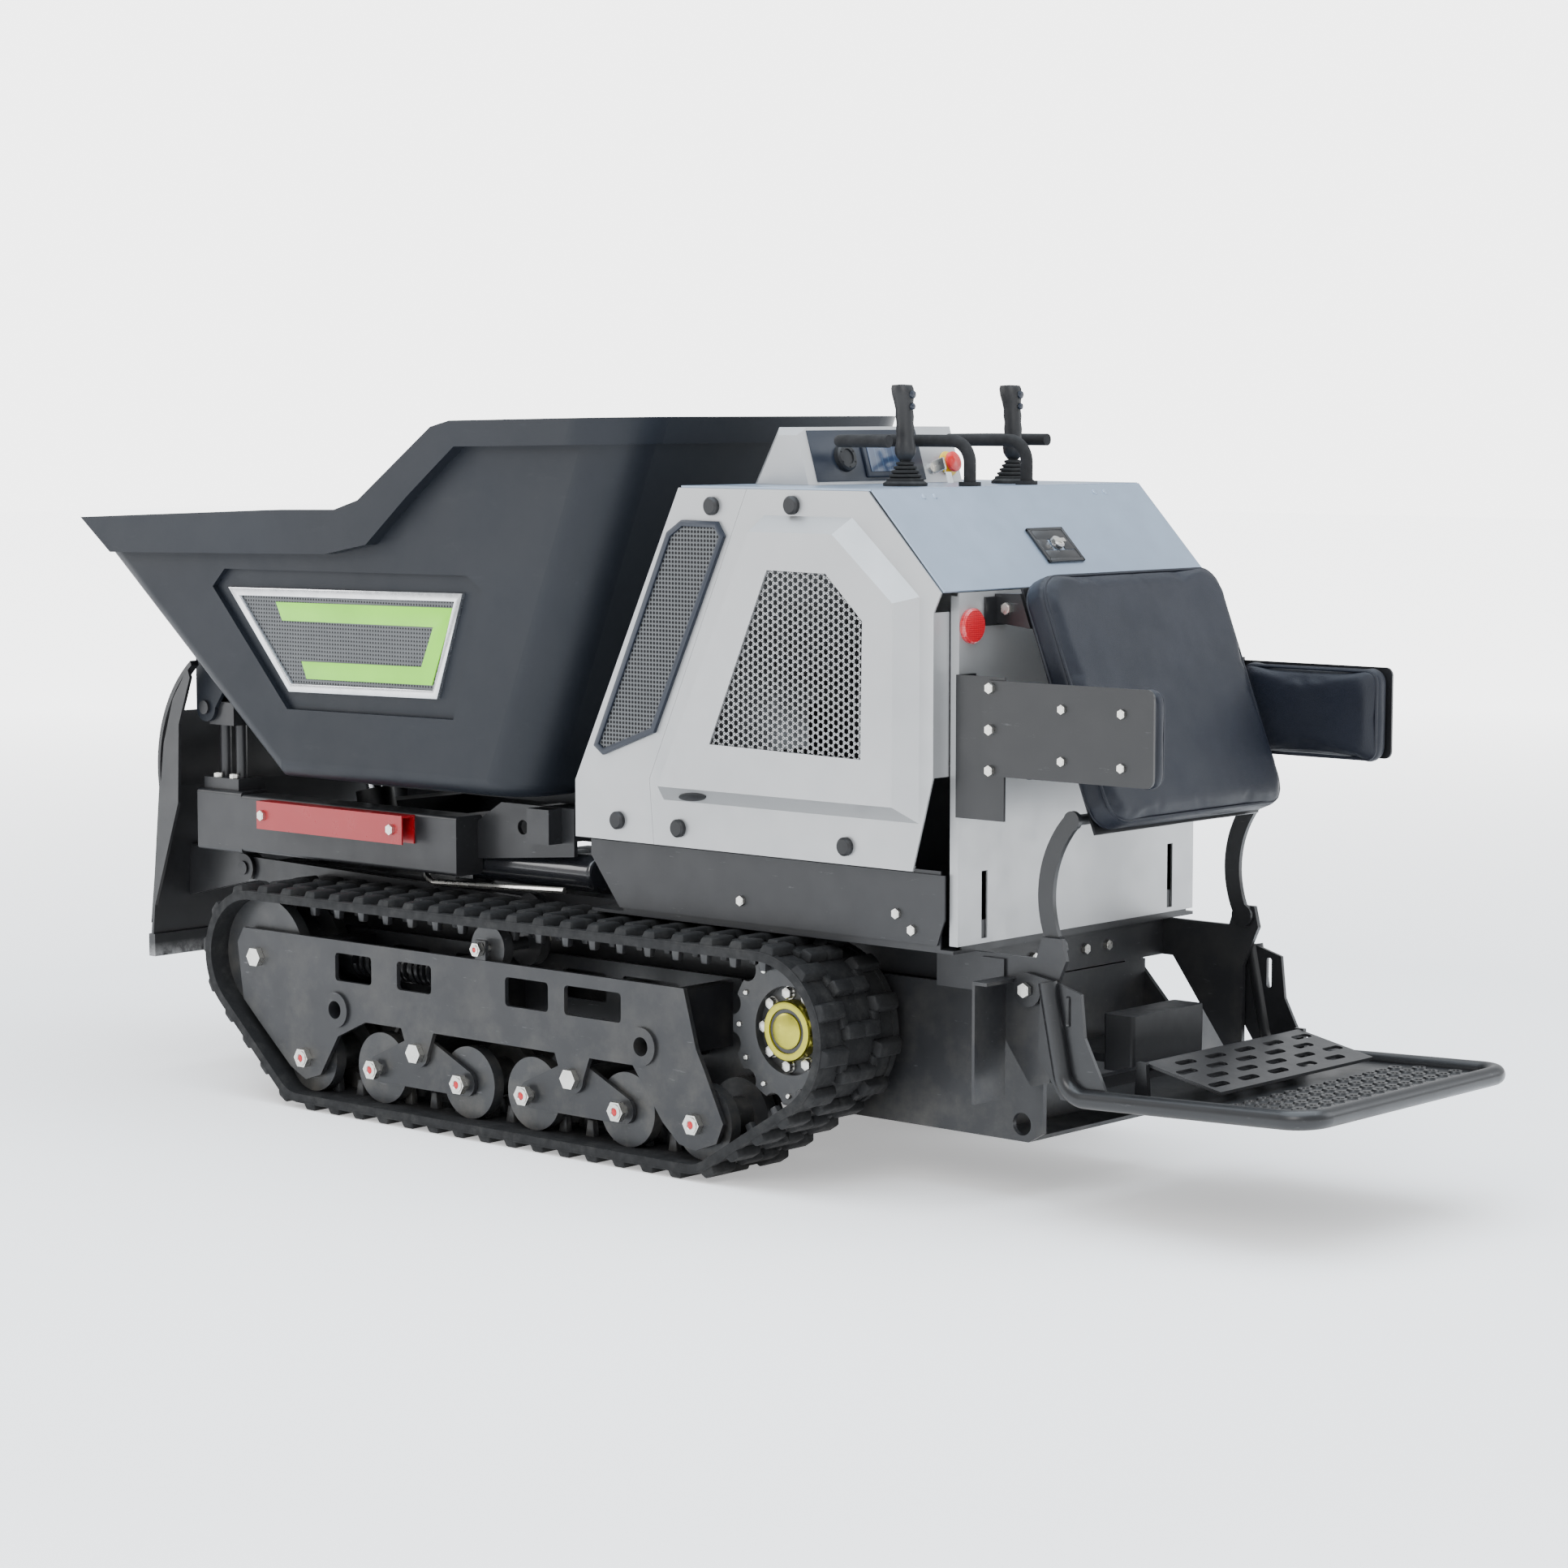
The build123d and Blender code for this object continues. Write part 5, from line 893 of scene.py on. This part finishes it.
class DUMPER_OT_fittings(bpy.types.Operator):
    """Build the latch dish, lid hinge rivets, platform grip buttons and cover plugs"""
    bl_idname = "dumper.fittings"
    bl_label = "Small fittings"

    def execute(self, context):
        self.latch_dish()
        self.lid_hinges()
        self.grip_buttons()
        self.cover_plugs()
        self.reservoir()
        return {"FINISHED"}

    def latch_dish(self):
        """Black dish round the quarter-turn latch."""
        down = Vector((-0.137, 0, -0.144)).normalized()
        out = Vector((-down.z, 0, down.x)) * -1
        if out.z < 0:
            out.negate()
        turn = Matrix((Vector((0, 1, 0)), down, Vector((0, 1, 0)).cross(down))).transposed().to_4x4()
        normal = Vector((0, 1, 0)).cross(down)
        middle = Vector((-0.534, 0, 1.055)) + down * 0.122
        flip = 1 if normal.z > 0 else -1
        shape = bmesh.new()
        for offset, size in (((-0.041, 0), (0.006, 0.068)), ((0.041, 0), (0.006, 0.068)), ((0, -0.031), (0.088, 0.006)),
                             ((0, 0.031), (0.088, 0.006))):
            spot = middle + Vector((0, 1, 0)) * offset[0] + down * offset[1] + normal * flip * 0.0024
            block(shape, spot, (size[0], size[1], 0.0042), turn, 0.0012)
        block(shape, middle + down * -0.019 + normal * flip * 0.0034, (0.074, 0.018, 0.0012), turn, 0.0004)
        block(shape, middle + down * 0.020 + normal * flip * 0.0034, (0.074, 0.016, 0.0012), turn, 0.0004)
        for along in (-0.026, 0.026):
            block(shape, middle + Vector((0, along, 0)) + normal * flip * 0.0034, (0.024, 0.022, 0.0012), turn, 0.0004)
        piece("latch_dish", shape, "black", "service_lid")
        shape = bmesh.new()
        turned(shape, [(0.0062, 0.0048), (0.0118, 0.0048), (0.0110, 0.0105), (0.0062, 0.0110), (0.0062, 0.0048)], middle,
               normal * flip, 30)
        piece("latch_ring", shape, "chrome", "service_lid")

    def lid_hinges(self):
        """Pairs of rivets along the lid's upper edge, at its two hinges."""
        down = Vector((-0.137, 0, -0.144)).normalized()
        out = Vector((-0.144, 0, 0.137)).normalized()
        shape = bmesh.new()
        for y in (-0.222, -0.196, 0.196, 0.222):
            spot = Vector((-0.534, y, 1.055)) + down * 0.016
            turned(shape, [(0.0, 0.0002), (0.0052, 0.0002), (0.0044, 0.0018), (0.0, 0.0026)], spot, out, 16)
        piece("lid_rivets", shape, "lid", "service_lid")

    def grip_buttons(self):
        """Raised grip rings over the rear of the platform's floor."""
        shape = bmesh.new()
        for row in range(5):
            x = -1.105 - 0.031 * row
            z = 0.188 + (-0.8415 - x) * 0.0340 + 0.0004
            for k in range(13 + row % 2):
                y = (k - (12 + row % 2) / 2) * 0.034
                turned(shape, [(0.0050, -0.001), (0.0125, -0.001), (0.0105, 0.0026), (0.0066, 0.0026), (0.0050, -0.001)],
                       (x, y, z), (0, 0, 1), 12)
        piece("grip_buttons", shape, "black", "platform")

    def cover_plugs(self):
        """Oval rubber plugs low on the raised covers."""
        shape = bmesh.new()
        for side, sign in SIDES:
            outline = [(-0.190 + 0.034 * math.cos(a) * 0.94 + 0.011 * math.sin(a) * 0.0, 0.583 + 0.0105 * math.sin(a)
                        - 0.006 * math.cos(a)) for a in (math.tau * k / 28 for k in range(28))]
            before = set(shape.verts)
            plate(shape, outline, 0.0, sign * 0.0022, 0.0008)
            made = [vert for vert in shape.verts if vert not in before]
            tilt = Matrix.Rotation(-sign * math.atan2(0.030, 0.024), 4, "X")
            origin = Matrix.Translation((0, 0, 0.583))
            bmesh.ops.transform(shape, matrix=Matrix.Translation((0, sign * 0.3436, 0)) @ origin
                                @ tilt @ origin.inverted(), verts=made)
        piece("cover_plugs", shape, "trim")

    def reservoir(self):
        """Sight plug and pressure line of the hydraulic unit."""
        shape = bmesh.new()
        turned(shape, [(0, 0), (0.011, 0), (0.0105, 0.004), (0.006, 0.006), (0, 0.006)], (0.640, 0.213, 0.422), (0, 1, 0), 24)
        piece("sight_plug", shape, "mark")
        shape = bmesh.new()
        arc = [Vector((0.205 + 0.022 * k, 0.226, 0.3925 - 0.0009 * k)) for k in range(15)]
        arc += [Vector((0.530, 0.222, 0.384)), Vector((0.545, 0.214, 0.388)), Vector((0.552, 0.206, 0.398))]
        rod(shape, arc, 0.0055, 12)
        piece("pressure_pipe", shape, "zinc")


# ---------------------------------------------------------------- pads

def pad_block(size, corner, place, inset):
    """A cushion blank with rounded plan corners and room to swell in its depth, in its final place."""
    shape = bmesh.new()
    block(shape, (0, 0, 0), (size[0], size[1], size[2] - 2 * inset))
    upright = [edge for edge in shape.edges if abs((edge.verts[0].co - edge.verts[1].co).z) > 0.001]
    soften(shape, upright, corner, 6)
    rims = [edge for edge in shape.edges if abs(edge.verts[0].co.z - edge.verts[1].co.z) < 1e-6
            and edge.calc_face_angle(0.0) > 1.2]
    soften(shape, rims, 0.007, 3)
    bmesh.ops.transform(shape, matrix=place, verts=shape.verts)
    return shape


def inflated(name, shape, cap, voxel=0.006):
    """Swells a blank with a short cloth simulation and returns the finished mesh."""
    blank = bpy.data.meshes.new(name)
    shape.to_mesh(blank)
    shape.free()
    carrier = bpy.data.objects.new(name + "_blank", blank)
    bpy.context.scene.collection.objects.link(carrier)
    remesh = carrier.modifiers.new("Remesh", "REMESH")
    remesh.mode = "VOXEL"
    remesh.voxel_size = voxel
    graph = bpy.context.evaluated_depsgraph_get()
    skin = bpy.data.meshes.new_from_object(carrier.evaluated_get(graph))
    carrier.modifiers.clear()
    carrier.data = skin
    start = [vert.co.copy() for vert in skin.vertices]
    cloth = carrier.modifiers.new("Cloth", "CLOTH")
    cloth.settings.use_pressure = True
    cloth.settings.uniform_pressure_force = 4.0
    cloth.settings.effector_weights.gravity = 0.0
    cloth.settings.quality = 5
    for number in range(1, 21):
        bpy.context.scene.frame_set(number)
    graph = bpy.context.evaluated_depsgraph_get()
    swollen = carrier.evaluated_get(graph).data
    moved = []
    for vert, home in zip(swollen.vertices, start):
        step = vert.co - home
        moved.append(home + step * min(1.0, cap / max(step.length, 1e-9)))
    carrier.modifiers.clear()
    for vert, co in zip(skin.vertices, moved):
        vert.co = co
    bpy.context.scene.frame_set(1)
    final = bmesh.new()
    final.from_mesh(skin)
    for _ in range(2):
        bmesh.ops.smooth_vert(final, verts=final.verts, factor=0.5, use_axis_x=True, use_axis_y=True, use_axis_z=True)
    bmesh.ops.subdivide_edges(final, edges=final.edges, cuts=1, use_grid_fill=True, smooth=0.6)
    bpy.data.objects.remove(carrier)
    return final


def rounded_ring(width, length, corner, steps=8):
    """Points round a rectangle with rounded corners."""
    ring = []
    for k in range(4):
        cx = (width / 2 - corner) * (1 if k in (0, 3) else -1)
        cy = (length / 2 - corner) * (1 if k in (0, 1) else -1)
        for step in range(steps + 1):
            angle = math.pi / 2 * (k + step / steps)
            ring.append((cx + corner * math.cos(angle), cy + corner * math.sin(angle)))
    return ring


def make_pad(name, size, corner, place, stands_for, seams):
    """A stuffed pad with its side seams sunk in and piping laid along them."""
    shape = inflated(name, pad_block(size, corner, place, 0.005), sizes().pad_swell)
    back = place.inverted()
    for vert in shape.verts:
        local = back @ vert.co
        inside = Vector((local.x / (size[0] / 2), local.y / (size[1] / 2)))
        if max(abs(inside.x), abs(inside.y)) > 0.80:
            for level in seams:
                near = math.exp(-((local.z - level) / 0.0028) ** 2)
                pull = Vector((-inside.x, -inside.y, 0)).normalized() * 0.0022 * near
                local += pull
        local.z = max(local.z, -size[2] / 2)
        vert.co = place @ local
    tree = BVHTree.FromBMesh(shape)
    shape_piping = bmesh.new()
    for level in seams:
        path = []
        for x, y in rounded_ring(size[0], size[1], corner):
            outside = place @ Vector((x * 1.12, y * 1.12, level))
            towards = place @ Vector((0.0, 0.0, level)) - outside
            hit = tree.ray_cast(outside, towards.normalized())[0]
            if hit is None:
                raise RuntimeError(f"{name}: the piping found no pad to lie on")
            path.append(hit + towards.normalized() * sizes().piping * 0.25)
        rod(shape_piping, path, sizes().piping, 8, closed=True)
    made = piece(name, shape, "leather", stands_for=stands_for)
    trim = piece(name + "_piping", shape_piping, "leather")


class DUMPER_OT_pads(bpy.types.Operator):
    """Build the stuffed backrest and hip pads with their piping"""
    bl_idname = "dumper.pads"
    bl_label = "Pads"

    def execute(self, context):
        down = Vector((-0.363, 0, -0.932)).normalized()
        depth = Vector((down.z, 0, -down.x))
        top = Vector((-0.7135, 0, 0.925))
        middle = top + down * 0.1975 + depth * 0.0262
        across = Vector((0, 1, 0))
        place = Matrix.Translation(middle) @ Matrix((across, down, across.cross(down))).transposed().to_4x4()
        make_pad("backrest_cushion", (0.460, 0.395, 0.0514), 0.045, place, ("backrest_pad",), (-0.0165, 0.0165))
        low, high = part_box("hip_pads")
        for side, sign in SIDES:
            middle = Vector(((low.x + high.x) / 2, sign * 0.281, (low.z + high.z) / 2))
            place = Matrix.Translation(middle) @ Matrix.Rotation(sign * math.pi / 2, 4, "X")
            stands_for = ("hip_pads",) if side == "left" else ()
            make_pad(f"hip_cushion_{side}", (high.x - low.x, high.z - low.z, 0.0375), 0.022, place, stands_for,
                     (-0.010, 0.010))
        return {"FINISHED"}


# ---------------------------------------------------------------- stage

class DUMPER_OT_stage(bpy.types.Operator):
    """Set the pale floor with its painted glow, the soft lights and the camera"""
    bl_idname = "dumper.stage"
    bl_label = "Stage"

    def execute(self, context):
        scene = context.scene
        floor = bmesh.new()
        bmesh.ops.create_grid(floor, x_segments=2, y_segments=2, size=30.0)
        mesh = bpy.data.meshes.new("floor")
        floor.to_mesh(mesh)
        floor.free()
        ground = bpy.data.objects.new("floor", mesh)
        scene.collection.objects.link(ground)
        pale = Finish("pale floor with painted glow", (0.95, 0.95, 0.955), 0.95)
        pale.tint(pale.ramp(pale.noise(0.6, 2), 0.3, 0.7, 0.0, 0.2), (0.92, 0.92, 0.93))
        reach = pale.node("VectorMath", out="Value", settings={"operation": "LENGTH"}, Vector=pale.place)
        # painted light: the floor glows, faintly near the machine so that it lights it from below, and brighter further
        # out so that it fades into the backdrop
        pale.shader.inputs["Emission Color"].default_value = (1.0, 1.0, 1.0, 1.0)
        pale.tree.links.new(pale.ramp(reach, 2.2, 9.0, 0.45, 3.4), pale.shader.inputs["Emission Strength"])
        mesh.materials.append(pale.material)
        world = bpy.data.worlds.new("studio")
        world.use_nodes = True
        back = world.node_tree.nodes["Background"]
        back.inputs["Color"].default_value = (0.96, 0.98, 1.0, 1.0)
        back.inputs["Strength"].default_value = 1.0
        seen = world.node_tree.nodes.new("ShaderNodeBackground")
        seen.inputs["Color"].default_value = (1.0, 1.0, 1.0, 1.0)
        seen.inputs["Strength"].default_value = 4.5
        path = world.node_tree.nodes.new("ShaderNodeLightPath")
        mixed = world.node_tree.nodes.new("ShaderNodeMixShader")
        links = world.node_tree.links
        links.new(path.outputs["Is Camera Ray"], mixed.inputs[0])
        links.new(back.outputs[0], mixed.inputs[1])
        links.new(seen.outputs[0], mixed.inputs[2])
        links.new(mixed.outputs[0], world.node_tree.nodes["World Output"].inputs["Surface"])
        scene.world = world
        self.light("key", (-2.2, 4.6, 3.4), (0, 0.2, 0.6), 120, 2.2, (1.0, 0.98, 0.96))
        self.light("front", (4.5, 3.2, 2.6), (0.3, 0, 0.6), 80, 2.0, (1.0, 0.99, 0.98))
        self.light("top", (-0.4, 0.2, 5.0), (0, 0, 0.8), 560, 6.5, (0.80, 0.90, 1.0))
        self.light("rear", (-4.0, -3.2, 2.8), (-0.4, 0, 0.7), 90, 3.0, (0.9, 0.95, 1.0))
        yaw, pitch = 0.7271, 0.0998
        look = Vector((math.sin(yaw) * math.cos(pitch), -math.cos(yaw) * math.cos(pitch), -math.sin(pitch)))
        camera = bpy.data.objects.new("camera", bpy.data.cameras.new("camera"))
        scene.collection.objects.link(camera)
        camera.data.lens = 87.1
        camera.data.sensor_width = 36.0
        camera.location = (-4.1269, 4.5585, 1.1795)
        camera.rotation_euler = look.to_track_quat("-Z", "Y").to_euler()
        scene.camera = camera
        return {"FINISHED"}

    def light(self, name, place, target, power, size, colour):
        lamp = bpy.data.lights.new(name, "AREA")
        lamp.energy, lamp.size, lamp.color = power, size, colour
        holder = bpy.data.objects.new(name, lamp)
        bpy.context.scene.collection.objects.link(holder)
        holder.location = place
        holder.rotation_euler = (Vector(target) - Vector(place)).to_track_quat("-Z", "Y").to_euler()


OPERATORS = (
    DUMPER_OT_finishes, DUMPER_OT_belts, DUMPER_OT_wheels, DUMPER_OT_badges, DUMPER_OT_grilles, DUMPER_OT_springs,
    DUMPER_OT_joysticks, DUMPER_OT_console, DUMPER_OT_fittings, DUMPER_OT_pads, DUMPER_OT_stage,
)


class DUMPER_PT_panel(bpy.types.Panel):
    """Lists the settings and the build steps"""
    bl_idname = "DUMPER_PT_panel"
    bl_label = "Tracked dumper"
    bl_space_type = "VIEW_3D"
    bl_region_type = "UI"
    bl_category = "Dumper"

    def draw(self, context):
        for group in (context.scene.dumper_colours, context.scene.dumper_sizes):
            for key in group.__annotations__:
                self.layout.prop(group, key)
        for operator in OPERATORS:
            self.layout.operator(operator.bl_idname)


CLASSES = (DumperColours, DumperSizes, *OPERATORS, DUMPER_PT_panel)


def register():
    for cls in CLASSES:
        bpy.utils.register_class(cls)
    bpy.types.Scene.dumper_colours = PointerProperty(type=DumperColours)
    bpy.types.Scene.dumper_sizes = PointerProperty(type=DumperSizes)


def unregister():
    del bpy.types.Scene.dumper_sizes
    del bpy.types.Scene.dumper_colours
    for cls in reversed(CLASSES):
        bpy.utils.unregister_class(cls)


def main():
    register()
    for operator in OPERATORS:
        group, name = operator.bl_idname.split(".")
        getattr(getattr(bpy.ops, group), name)()


if __name__ == "__main__":
    main()
